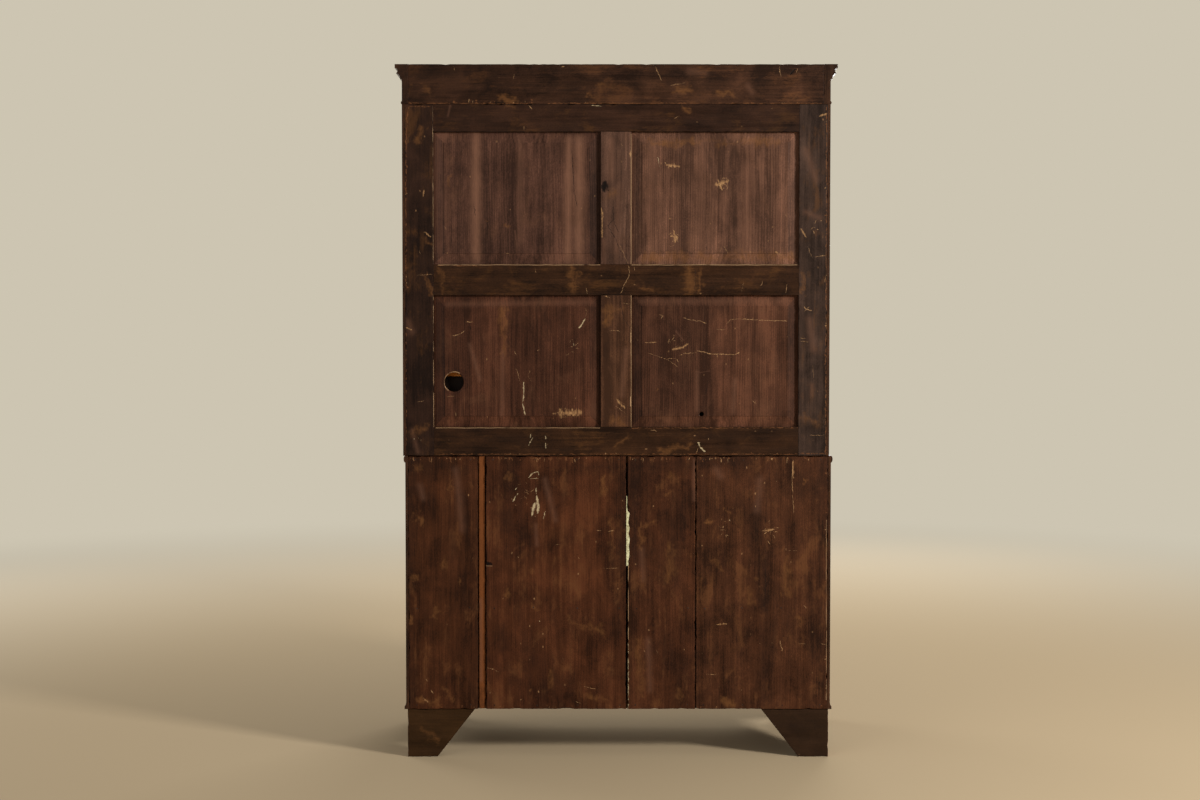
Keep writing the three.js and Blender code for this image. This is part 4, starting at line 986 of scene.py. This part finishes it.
# Finish of each board of the back, with the seed of its figure and its mean colour
BACK_BOARDS = {
    # The cornice's lift paints the key lamp's light falling off across it: brighter at its low x, near the
    # lamp, darker at its high x
    "cornice_back_board": dict(kind="cornice", grain="x", seed=1.3, lift=(0.62, 1.05), end_soil=0.4),
    # Its tint is lighter and greyer than the other stile's: painted sheen, where the key lamp grazes it
    "back_left_stile": dict(STILE, seed=2.1, tint=(54, 40, 33)),
    "back_right_stile": dict(STILE, seed=3.4, tint=(41, 25, 17)),
    "back_top_rail": dict(RAIL, seed=4.2, tint=(42, 25, 16), end_soil=0.5),
    "back_middle_rail": dict(RAIL, seed=5.7, tint=(46, 27, 14)),
    "back_bottom_rail": dict(RAIL, seed=6.3, tint=(46, 27, 14)),
    "back_upper_muntin": dict(MUNTIN, seed=7.9, tint=(78, 55, 44)),
    "back_lower_muntin": dict(MUNTIN, seed=8.8, tint=(82, 53, 36)),
    "back_panel_upper_right": dict(PANEL, seed=9.6, tint=(70, 46, 36)),
    "back_panel_upper_left": dict(PANEL, seed=10.2, tint=(92, 63, 49)),
    "back_panel_lower_right": dict(PANEL, seed=11.5, tint=(62, 36, 24)),
    "back_panel_lower_left": dict(PANEL, seed=12.7, tint=(70, 43, 30)),
    "lower_back_board_1": dict(BOARD, seed=13.3, tint=(60, 32, 16)),
    "lower_back_board_2": dict(BOARD, seed=14.6, tint=(64, 34, 18)),
    "lower_back_board_3": dict(BOARD, seed=15.2, tint=(61, 33, 18)),
    "lower_back_board_4": dict(BOARD, seed=16.9, tint=(62, 35, 20)),
    "lower_back_strip": dict(kind="strip", grain="z", seed=17.4, tint=(110, 63, 31), side_soil=0.4),
    "rear_left_foot": dict(FOOT, seed=18.8, tint=(43, 28, 17)),
    "rear_right_foot": dict(FOOT, seed=19.1, tint=(50, 32, 15)),
}
SLOTS = {
    "cornice": "cornice_wood", "frame": "carcass_wood", "panel": "back_panel_wood",
    "board": "back_board_wood", "strip": "strip_wood", "foot": "carcass_wood", "side": "carcass_wood",
    "show": "front_wood", "lining": "lining_wood", "inside": "lining_wood",
}
DRAWERS = ("left_short_drawer", "right_short_drawer", "middle_long_drawer", "bottom_long_drawer")

# Mesh work: where facets join and edges count as sharp, and how arrises are rounded
WELD_DISTANCE = 0.00002
FLAT_ANGLE = math.radians(0.4)
ARRIS_ANGLE = math.radians(50)
SMOOTH_ANGLE = math.radians(34)
ARRIS_SEGMENTS = 3

# Wear in the shape of the boards: how far apart its points lie, how deep it goes and how fine it is
WEAR_STEPS = {0: 0.014, 2: 0.011}
EDGE_STRIP = 0.0045
RIPPLE_FINENESS = 11
WANDER_FINENESS = 7
CHIP_FINENESS = 85
CHIP_START = 0.12
OUTER_SHARE = 0.4
TOP_CHIPS = 3
BOARD_TOP_DROP = 0.0022

# How much each kind of back board is worn: arris, ripple, wander and chips, in metres
BOARD_WEAR = {
    "cornice": dict(arris=0.0012, ripple=0.0003, wander=0.0002, chips=0.0015),
    "frame": dict(arris=0.0010, ripple=0.0002, wander=0.0002, chips=0.002),
    "panel": dict(arris=0.0006, ripple=0.0003, wander=0.0002, chips=0.0),
    "board": dict(arris=0.0012, ripple=0.0004, wander=0.0002, chips=0.003),
    "strip": dict(arris=0.0008, ripple=0.0002, wander=0.0002, chips=0.001),
    "foot": dict(arris=0.0012, ripple=0.0003, wander=0.0003, chips=0.003),
}
FOOT_FACING = 0.4

# Middles of growth rings: how they vary from board to board, and how far behind the face they lie
HEART_FINENESS = 7.3
HEART_SWAY = (0.12, 0.05, 0.3)
HEART_DEPTH = 0.05


def solid_copy(node):
    """A node's solid with its facets joined back into whole faces."""
    mesh = bmesh.new()
    mesh.from_mesh(frame["nodes"][node].data)
    bmesh.ops.remove_doubles(mesh, verts=mesh.verts, dist=WELD_DISTANCE)
    bmesh.ops.dissolve_limit(mesh, angle_limit=FLAT_ANGLE, verts=mesh.verts, edges=mesh.edges)
    for face in mesh.faces:
        face.material_index = 0
    return mesh


def round_arrises(mesh, radius):
    """Rounds every outside edge."""
    sharp = [
        edge for edge in mesh.edges
        if edge.is_manifold and edge.is_convex and edge.calc_face_angle() > ARRIS_ANGLE
    ]
    bmesh.ops.bevel(
        mesh, geom=sharp, offset=radius, offset_type="OFFSET", segments=ARRIS_SEGMENTS, profile=0.5,
        affect="EDGES", clamp_overlap=True, loop_slide=True,
    )


def cut_across(mesh, axis, *places):
    """Adds edges where planes square to an axis cross the mesh."""
    normal = Vector([float(index == axis) for index in range(3)])
    for place in places:
        geometry = mesh.verts[:] + mesh.edges[:] + mesh.faces[:]
        bmesh.ops.bisect_plane(
            mesh, geom=geometry, dist=WELD_DISTANCE, plane_co=normal * place, plane_no=normal,
        )


def wear_down(mesh, node, seed, ripple, wander, chips, top_drop=0.0):
    """Planes a board's outer face uneven by hand and wears its edges back, deeper in places."""
    low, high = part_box(node)
    for axis, wear_step in WEAR_STEPS.items():
        size = high[axis] - low[axis]
        count = round(size / wear_step)
        cut_across(mesh, axis, low[axis] + EDGE_STRIP, high[axis] - EDGE_STRIP)
        cut_across(mesh, axis, *[low[axis] + size * step / count for step in range(1, count)])
    inner = low.y + (high.y - low.y) * OUTER_SHARE
    for vert in mesh.verts:
        place = vert.co.copy()
        if place.y < inner:
            continue
        here = place + Vector((seed, 2 * seed, 3 * seed))
        vert.co.y -= ripple * (1 + noise.noise(here * RIPPLE_FINENESS))
        chip = chips * max(0.0, noise.noise(here * CHIP_FINENESS) - CHIP_START)
        back = wander * (1 + noise.noise(here * WANDER_FINENESS)) + chip
        for axis in WEAR_STEPS:
            for side, limit in ((1, low[axis]), (-1, high[axis])):
                near = 1 - abs(place[axis] - limit) / EDGE_STRIP
                if near <= 0:
                    continue
                drop = top_drop if (axis, side) == (2, -1) else 0.0
                deep = chip * TOP_CHIPS if drop else chip
                vert.co[axis] += side * near * (back + deep + drop)
                vert.co.y -= near * deep


def bridge(mesh, rings, closed=False):
    """Faces between rings of points, each joined to the next, and caps unless the last joins the first."""
    following_rings = rings[1:] + rings[:1] if closed else rings[1:]
    for ring, following in zip(rings, following_rings):
        for step in range(len(ring)):
            after = (step + 1) % len(ring)
            mesh.faces.new((ring[step], ring[after], following[after], following[step]))
    if not closed:
        mesh.faces.new(rings[0])
        mesh.faces.new(rings[-1])


def make_piece(name, mesh, materials, body, slot, replaced=()):
    """An object from a bmesh: smooth where it curves, riding on a body and standing for nodes."""
    data = bpy.data.meshes.new(name)
    mesh.to_mesh(data)
    mesh.free()
    for material in materials:
        data.materials.append(material)
    for polygon in data.polygons:
        polygon.use_smooth = True
    data.set_sharp_from_angle(angle=SMOOTH_ANGLE)
    piece = bpy.data.objects.new(name, data)
    bpy.context.scene.collection.objects.link(piece)
    modifier = piece.modifiers.new("even normals", "WEIGHTED_NORMAL")
    modifier.keep_sharp = True
    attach(piece, body)
    if replaced:
        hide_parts(*replaced)


def board_heart(node, grain):
    """A place behind the board's face for the middle of its growth rings, in the wood's own axes."""
    low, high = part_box(node)
    middle = (low + high) / 2
    spread = noise.noise(middle * HEART_FINENESS)
    across, deeper, along = [sway * spread for sway in HEART_SWAY]
    heart = Vector((middle.x + across, high.y - HEART_DEPTH - abs(deeper), middle.z + along))
    return tuple(heart[index] for index in GRAIN_SWAPS[grain])


def dress_back_board(node, kind, grain, seed, **finish):
    """A board of the back with worn arrises and its own wood."""
    wear = dict(BOARD_WEAR[kind])
    mesh = solid_copy(node)
    round_arrises(mesh, wear.pop("arris"))
    wear_down(mesh, node, seed, top_drop=BOARD_TOP_DROP if kind == "board" else 0.0, **wear)
    materials = [wood_material(
        node + "_wood", kind, grain, seed, heart=board_heart(node, grain), board=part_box(node),
        marks=MARKS.get(node), depth=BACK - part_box(node)[1].y, **finish,
    )]
    if kind == "foot":
        materials.append(wood_material(node + "_outer_wood", "show", "y", seed))
        for face in mesh.faces:
            face.material_index = int(face.normal.x * face.calc_center_median().x > FOOT_FACING)
    make_piece("aged_" + node, mesh, materials, NODE_BODY[node], SLOTS[kind], [node])


for node, finish in BACK_BOARDS.items():
    dress_back_board(node, **finish)

# Sizes of the front, in metres, and where its faces look and lie
FACING = 0.7
FINE_ARRIS = 0.0007
TRAY_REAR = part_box("linen_tray_1")[1].y - EDGE_STRIP
DOOR_TONGUE = 0.008
DOOR_STILE = 0.085
DOOR_FACE_REACH = 0.0175
DOOR_FACE = 0.665
DRAWER_FACE = 0.0365
DRAWER_KNOB_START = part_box("waist_moulding")[0].y
LONG_KNOB_SHARE = 0.29
DRAWER_HALO = 0.05
DOOR_HALO = 0.045

# Polish and wear of the front
GLOSS = {"show": 0.22, "side": 0.12}
EDGE_WEAR = dict(side_wear=0.45, end_wear=0.45, side_soil=0.55, end_soil=0.55, reach=0.002)
PANEL_SOIL = dict(side_soil=0.7, end_soil=0.7, reach=0.0035)
REAR_WOOD = 2
# Painted light: a bright band along the second tray's rear, seen at the top of the cable hole
REAR_MARKS = {"linen_tray_2": {"lit_band": [(3.4, 440, 373.4, 470, 373.4)]}}
FIRST_SEED = 30
SEED_PER_PIECE = 1.37
SEED_PER_WOOD = 0.7


# Each piece has up to three woods, and a rule gives for its node what says which of them a face takes
def looks_back(face, start):
    """Whether a face looks to the back from beyond a place."""
    return face.normal.y > FACING and face.calc_center_median().y > start


def whole(node):
    """One wood all over."""
    return lambda face: 0


def along_front(node):
    """Grain along the front, and front to back on the parts that face sideways."""
    return lambda face: int(abs(face.normal.x) > FACING)


def with_dark_back(node):
    """One wood, with a dark edge where the piece ends at the back."""
    return lambda face: REAR_WOOD if looks_back(face, BACK - EDGE_STRIP) else 0


def tray_parts(node):
    """A tray or box: sides with their grain front to back, and a near-black rear, painted shade as dark as
    the inside of the press behind the cable hole.
    """
    return lambda face: REAR_WOOD if looks_back(face, TRAY_REAR) else int(abs(face.normal.x) > FACING)


def drawer_parts(node):
    """Drawer front: its face, and the turned knobs that stand out from it."""
    return lambda face: REAR_WOOD if face.calc_center_median().y < DRAWER_KNOB_START else 0


def mitred(node):
    """A moulding that turns the corners: the parts past each mitre run front to back."""
    low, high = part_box(node)
    middle = (low.x + high.x) / 2
    half = (high.x - low.x) / 2

    def wood_of(face):
        centre = face.calc_center_median()
        on_top = face.normal.z > FACING and centre.z > high.z - FINE_ARRIS
        if on_top or looks_back(face, BACK - EDGE_STRIP):
            return REAR_WOOD
        return int(centre.y - low.y > half - abs(centre.x - middle))
    return wood_of


def door_parts(node):
    """Door frame: upright stiles, level rails between them, and a turned knob."""
    low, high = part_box(node.replace("frame", "panel"))
    shoulders = (low.y + DOOR_TONGUE, high.y - DOOR_TONGUE)
    rails = (low.z + DOOR_TONGUE, high.z - DOOR_TONGUE)
    outer = min(abs(high.x), abs(low.x)) + DOOR_FACE_REACH

    def wood_of(face):
        centre = face.calc_center_median()
        if abs(centre.x) > outer and shoulders[0] - DOOR_STILE < centre.y < shoulders[0]:
            return REAR_WOOD
        return int(shoulders[0] < centre.y < shoulders[1] and not rails[0] < centre.z < rails[1])
    return wood_of


# Families of pieces: the woods with their grains, the rule, and the nodes, in an order that sets their seeds
FAMILIES = (
    (
        (("show", "x"), ("show", "y"), ("frame", "z")), mitred,
        ("cornice_frame", "waist_moulding", "base_moulding"),
    ),
    ((("show", "x"), ("show", "y")), along_front, ("front_left_foot", "front_right_foot")),
    ((("show", "z"), ("show", "y"), ("show", "x")), door_parts, ("left_door_frame", "right_door_frame")),
    ((("show", "z"),), whole, ("left_door_panel", "right_door_panel")),
    (
        (("show", "x"), ("show", "x"), ("show", "y")), drawer_parts,
        tuple(drawer + "_front" for drawer in DRAWERS),
    ),
    (
        (("side", "z"), ("side", "z"), ("frame", "z")), with_dark_back,
        ("upper_left_side", "upper_right_side", "lower_left_side", "lower_right_side"),
    ),
    (
        (("inside", "x"),), whole,
        (
            "cornice_top_board", "upper_bottom_board", "upper_top_board", "lower_top_board",
            "lower_bottom_board", "lower_dust_board", "upper_dust_board",
        ),
    ),
    (
        (("lining", "x"), ("lining", "y"), ("shadowed", "x")), tray_parts,
        (*(f"linen_tray_{number}" for number in range(1, 6)), *(drawer + "_box" for drawer in DRAWERS)),
    ),
)


def knob_halos(node):
    """Where hands have darkened the wood round a piece's knobs: each centre and how far it spreads."""
    low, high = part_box(node)
    middle = (low + high) / 2
    if node.endswith("door_frame"):
        return [(Vector((math.copysign(DOOR_FACE, middle.x), low.y + DOOR_STILE / 2, middle.z)), DOOR_HALO)]
    if not node.endswith("drawer_front"):
        return []
    shares = (-LONG_KNOB_SHARE, LONG_KNOB_SHARE) if "long" in node else (0,)
    width = high.x - low.x
    return [(Vector((middle.x + share * width, DRAWER_FACE, middle.z)), DRAWER_HALO) for share in shares]


def edge_finish(node):
    """Wear and soil along the edges of a piece that shows, and which way it faces."""
    low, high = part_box(node)
    if node.endswith("door_panel"):
        inset = Vector((0, DOOR_TONGUE, DOOR_TONGUE))
        return dict(PANEL_SOIL, board=(low + inset, high - inset), facing="x")
    if node.endswith(("_side", "door_frame")):
        return dict(EDGE_WEAR, board=(low, high), facing="x")
    if node.endswith(("drawer_front", "foot")):
        return dict(EDGE_WEAR, board=(low, high), facing="y")
    return {}


def dress_front_piece(node, woods, rule, seed):
    """A piece of the front or the inside: fine arrises and its woods."""
    mesh = solid_copy(node)
    if node.endswith("door_frame"):
        low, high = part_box(node.replace("frame", "panel"))
        for axis in (1, 2):
            cut_across(mesh, axis, low[axis] + DOOR_TONGUE, high[axis] - DOOR_TONGUE)
    round_arrises(mesh, FINE_ARRIS)
    wood_of = rule(node)
    for face in mesh.faces:
        face.material_index = wood_of(face)
    materials = []
    for number, (kind, grain) in enumerate(woods):
        if number == REAR_WOOD:
            finish = dict(marks=REAR_MARKS.get(node))
        else:
            finish = dict(edge_finish(node), halos=knob_halos(node))
        materials.append(wood_material(
            f"{node}_wood_{number}", kind, grain, seed + number * SEED_PER_WOOD,
            heart=board_heart(node, grain), gloss=GLOSS.get(kind, 0),
            depth=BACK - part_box(node)[1].y, **finish,
        ))
    make_piece("aged_" + node, mesh, materials, NODE_BODY[node], SLOTS[woods[0][0]], [node])


front_pieces = [(node, woods, rule) for woods, rule, nodes in FAMILIES for node in nodes]
for index, piece in enumerate(front_pieces):
    dress_front_piece(*piece, FIRST_SEED + index * SEED_PER_PIECE)

# Brass escutcheons: an oval plate with a rounded edge and a keyhole, in metres
RING_POINTS = 48
ESCUTCHEON_HALF_WIDTH = 0.0125
ESCUTCHEON_HALF_HEIGHT = 0.019
ESCUTCHEON_THICKNESS = 0.0012
ESCUTCHEON_ROOT = 0.0004
KEYHOLE_RADIUS = 0.0034
KEYHOLE_SLOT = 0.0013
KEYHOLE_DROP = 0.0095

# The plate's section from its rim to the keyhole: the share of the oval, 0 at the keyhole, and the height
ESCUTCHEON_SECTION = (
    (1, -ESCUTCHEON_ROOT), (1, 0.6 * ESCUTCHEON_THICKNESS), (0.9, ESCUTCHEON_THICKNESS),
    (0, ESCUTCHEON_THICKNESS), (0, -ESCUTCHEON_ROOT),
)

# How high each drawer's lock is, as a share of its front, and the doors' lock above their middle
LOCK_SHARES = {"short": 0.82, "long": 0.66}
LOCK_ABOVE_MIDDLE = 0.075

# Nails that hold the back boards, with low round heads, and how they stray from their row
NAIL_RADIUS = 0.0022
NAIL_HEIGHT = 0.0005
NAIL_ROOT = 0.0006
NAIL_SINK = 0.0006
NAIL_POINTS = 10
NAIL_SPACING = 0.13
NAIL_FROM_SIDE = 0.022
NAIL_SWAY = 0.008
NAIL_SWAY_UP = 0.4
NAIL_SWAY_FINENESS = (31, 17)
NAIL_LEVELS = ("lower_bottom_board", "lower_dust_board", "lower_top_board")
NAILED_BOARDS = 4

# A nail head's section from the root to the top: shares of its radius, and heights
NAIL_SECTION = ((1, -NAIL_ROOT), (1, 0.4 * NAIL_HEIGHT), (0.6, NAIL_HEIGHT))

# The pale filler left in the joint of two back boards: its right side, in pixels of the view
FILLED_BOARD = "lower_back_board_3"
FILLER_LEFT = 626.3
FILLER_OUTLINE = (
    (627, 496), (627.2, 500), (626.9, 506), (627.6, 511), (629.6, 513), (628.8, 518), (628.2, 523),
    (629.6, 528), (628.6, 534), (629.8, 540), (628.8, 546), (629.4, 552), (629.2, 557), (628.2, 561),
    (628.4, 565.2), (626.6, 566),
)
FILLER_PROUD = 0.0006
FILLER_ROOT = 0.002


def keyhole_radius(angle):
    """How far the keyhole's edge is from the middle of its round end, at an angle from straight up."""
    below = math.cos(angle) < 0
    slot = KEYHOLE_SLOT / max(abs(math.sin(angle)), KEYHOLE_SLOT / KEYHOLE_DROP)
    return max(KEYHOLE_RADIUS, slot) if below else KEYHOLE_RADIUS


def add_escutcheon(name, place, across, outward, body):
    """One brass escutcheon, its oval upright."""
    mesh = bmesh.new()
    upward = Vector((0, 0, 1))
    rings = []
    for share, lift in ESCUTCHEON_SECTION:
        ring = []
        for step in range(RING_POINTS):
            angle = 2 * math.pi * step / RING_POINTS
            sine, cosine = math.sin(angle), math.cos(angle)
            oval = across * (ESCUTCHEON_HALF_WIDTH * sine) + upward * (ESCUTCHEON_HALF_HEIGHT * cosine)
            hole = (across * sine + upward * cosine) * keyhole_radius(angle)
            ring.append(mesh.verts.new(place + (oval * share if share else hole) + outward * lift))
        rings.append(ring)
    bridge(mesh, rings, closed=True)
    bmesh.ops.recalc_face_normals(mesh, faces=mesh.faces)
    make_piece(name, mesh, [BRASS], body, "hinge_brass")


def add_escutcheons():
    """One on each drawer, and one on the right door's stile."""
    for drawer in DRAWERS:
        low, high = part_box(drawer + "_front")
        share = LOCK_SHARES["long" if "long" in drawer else "short"]
        place = Vector(((low.x + high.x) / 2, DRAWER_FACE, low.z + (high.z - low.z) * share))
        add_escutcheon(drawer + "_escutcheon", place, Vector((1, 0, 0)), Vector((0, -1, 0)), drawer)
    low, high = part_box("left_door_frame")
    place = Vector((DOOR_FACE, low.y + DOOR_STILE / 2, (low.z + high.z) / 2 + LOCK_ABOVE_MIDDLE))
    add_escutcheon("right_door_escutcheon", place, Vector((0, 1, 0)), Vector((1, 0, 0)), "right_door")


def add_nail(mesh, place):
    """A low domed nail head on the back, sunk a little at its rim."""
    rings = []
    for share, lift in NAIL_SECTION:
        ring = []
        for step in range(NAIL_POINTS):
            angle = 2 * math.pi * step / NAIL_POINTS
            spread = Vector((math.cos(angle), 0, math.sin(angle))) * NAIL_RADIUS * share
            ring.append(mesh.verts.new(place + spread + Vector((0, lift, 0))))
        rings.append(ring)
    bridge(mesh, rings)


def add_nails():
    """Rows of nails where the lower back boards cross the boards inside."""
    mesh = bmesh.new()
    for number in range(1, NAILED_BOARDS + 1):
        low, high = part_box(f"lower_back_board_{number}")
        width = high.x - low.x - 2 * NAIL_FROM_SIDE
        count = max(1, round(width / NAIL_SPACING))
        for level in NAIL_LEVELS:
            level_low, level_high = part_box(level)
            for step in range(count + 1):
                x = low.x + NAIL_FROM_SIDE + width * step / count
                spot = (x * NAIL_SWAY_FINENESS[0], number, level_low.z * NAIL_SWAY_FINENESS[1])
                sway = noise.noise(Vector(spot)) * NAIL_SWAY
                z = (level_low.z + level_high.z) / 2 + sway * NAIL_SWAY_UP
                add_nail(mesh, Vector((x + sway, high.y - NAIL_SINK, z)))
    bmesh.ops.recalc_face_normals(mesh, faces=mesh.faces)
    make_piece("back_board_nails", mesh, [IRON], "carcass", "hinge_brass")


def add_filler():
    """A ragged ribbon of filler along the edge of a board, thicker in its middle."""
    mesh = bmesh.new()
    rows = []
    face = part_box(FILLED_BOARD)[1].y
    for x, y in FILLER_OUTLINE:
        left = photo_point((FILLER_LEFT, y), BACK - face)
        right = photo_point((x, y), BACK - face)
        section = (
            (left, -FILLER_ROOT), (left, 0), ((left + right) / 2, FILLER_PROUD), (right, 0),
            (right, -FILLER_ROOT),
        )
        rows.append([mesh.verts.new((spot.x, face + lift, spot.z)) for spot, lift in section])
    bridge(mesh, rows)
    bmesh.ops.recalc_face_normals(mesh, faces=mesh.faces)
    make_piece("joint_filler", mesh, [filler_material()], "carcass", "back_board_wood")


BRASS = metal_material("dull_brass", paint(176, 138, 70), paint(96, 72, 38), 0.34)
IRON = metal_material("rusted_iron", paint(58, 42, 34), paint(26, 18, 14), 0.6, metallic=0.6)
for node, piece in frame["nodes"].items():
    if "hinge" in node:
        piece.data.materials.clear()
        piece.data.materials.append(BRASS)
add_escutcheons()
add_nails()
add_filler()

# Floor and backdrop: colours, the floor's radius and where it fades into the backdrop, in metres
BACKDROP_COLOUR = paint(205, 197, 178)
FLOOR_COLOUR = paint(176, 158, 130)
FLOOR_RADIUS = 30
FLOOR_SIDES = 96
FLOOR_FADE = (1.6, 6.5)

# Light: the world's colour and strength, and each lamp's place, size, watts and colour
AMBIENT_COLOUR = paint(255, 250, 240)
AMBIENT_STRENGTH = 0.36
LAMP_TARGET = Vector((0, 0.3, 1.05))
WARM = (1, 0.97, 0.92)
WHITE = (1, 1, 1)
LAMPS = {
    "key": ((-4.4, 3.6, 2.8), 0.9, 330, WARM),
    "fill": ((3.6, 5.0, 2.0), 3.0, 60, WHITE),
    "front": ((-1.5, -5.0, 2.8), 3.0, 200, WHITE),
    "front_fill": ((4.0, -3.0, 2.2), 2.5, 80, WHITE),
}


def add_object(name, data):
    """A new object in the scene."""
    made = bpy.data.objects.new(name, data)
    bpy.context.scene.collection.objects.link(made)
    return made


def add_camera():
    """The camera of the photograph, level but for its tilt, behind the object."""
    data = bpy.data.cameras.new("camera")
    data.lens = LENS
    data.sensor_width = SENSOR_WIDTH
    camera = add_object("camera", data)
    camera.location = CAMERA_PLACE
    camera.rotation_euler = (math.pi / 2 - CAMERA_TILT, 0, math.pi)
    bpy.context.scene.camera = camera


def seen_by(s, *rays):
    """1 where what arrives is one of these rays."""
    path = s.add("ShaderNodeLightPath").outputs
    seen = path[rays[0]]
    for ray in rays[1:]:
        seen = s.math("MAXIMUM", seen, path[ray])
    return seen


def add_floor():
    """A wide pale floor that fades into the backdrop away from the object."""
    mesh = bmesh.new()
    bmesh.ops.create_circle(mesh, cap_ends=True, radius=FLOOR_RADIUS, segments=FLOOR_SIDES)
    data = bpy.data.meshes.new("floor")
    mesh.to_mesh(data)
    mesh.free()
    material = bpy.data.materials.new("pale_floor")
    s, end = emptied(material, "ShaderNodeOutputMaterial")
    away = s.vector("LENGTH", s.place())
    seen = seen_by(s, "Is Camera Ray", "Is Glossy Ray", "Is Transmission Ray")
    matt = s.add("ShaderNodeBsdfDiffuse", dict(Color=FLOOR_COLOUR)).outputs[0]
    glow = s.add("ShaderNodeEmission", dict(Color=BACKDROP_COLOUR)).outputs[0]
    share = s.times(s.ramp(away, *FLOOR_FADE), seen)
    s.put(end, s.add("ShaderNodeMixShader", {0: share, 1: matt, 2: glow}).outputs[0])
    data.materials.append(material)
    add_object("floor", data)


def add_world():
    """Even light from all round, seen as the backdrop's colour."""
    world = bpy.data.worlds.new("studio")
    s, end = emptied(world, "ShaderNodeOutputWorld")
    seen = seen_by(s, "Is Camera Ray", "Is Transmission Ray")
    ambient, shown = [
        s.add("ShaderNodeBackground", dict(Color=colour, Strength=strength)).outputs[0]
        for colour, strength in ((AMBIENT_COLOUR, AMBIENT_STRENGTH), (BACKDROP_COLOUR, 1))
    ]
    s.put(end, s.add("ShaderNodeMixShader", {0: seen, 1: ambient, 2: shown}).outputs[0])
    bpy.context.scene.world = world


def add_lamp(name, place, size, watts, colour):
    """A soft square lamp that faces the object."""
    data = bpy.data.lights.new(name, "AREA")
    data.shape = "SQUARE"
    data.size = size
    data.energy = watts
    data.color = colour
    lamp = add_object(name, data)
    lamp.location = place
    lamp.rotation_euler = (LAMP_TARGET - Vector(place)).to_track_quat("-Z", "Y").to_euler()


add_camera()
add_floor()
add_world()
for name, lamp in LAMPS.items():
    add_lamp(name, *lamp)

bpy.context.scene.view_settings.view_transform = "Standard"
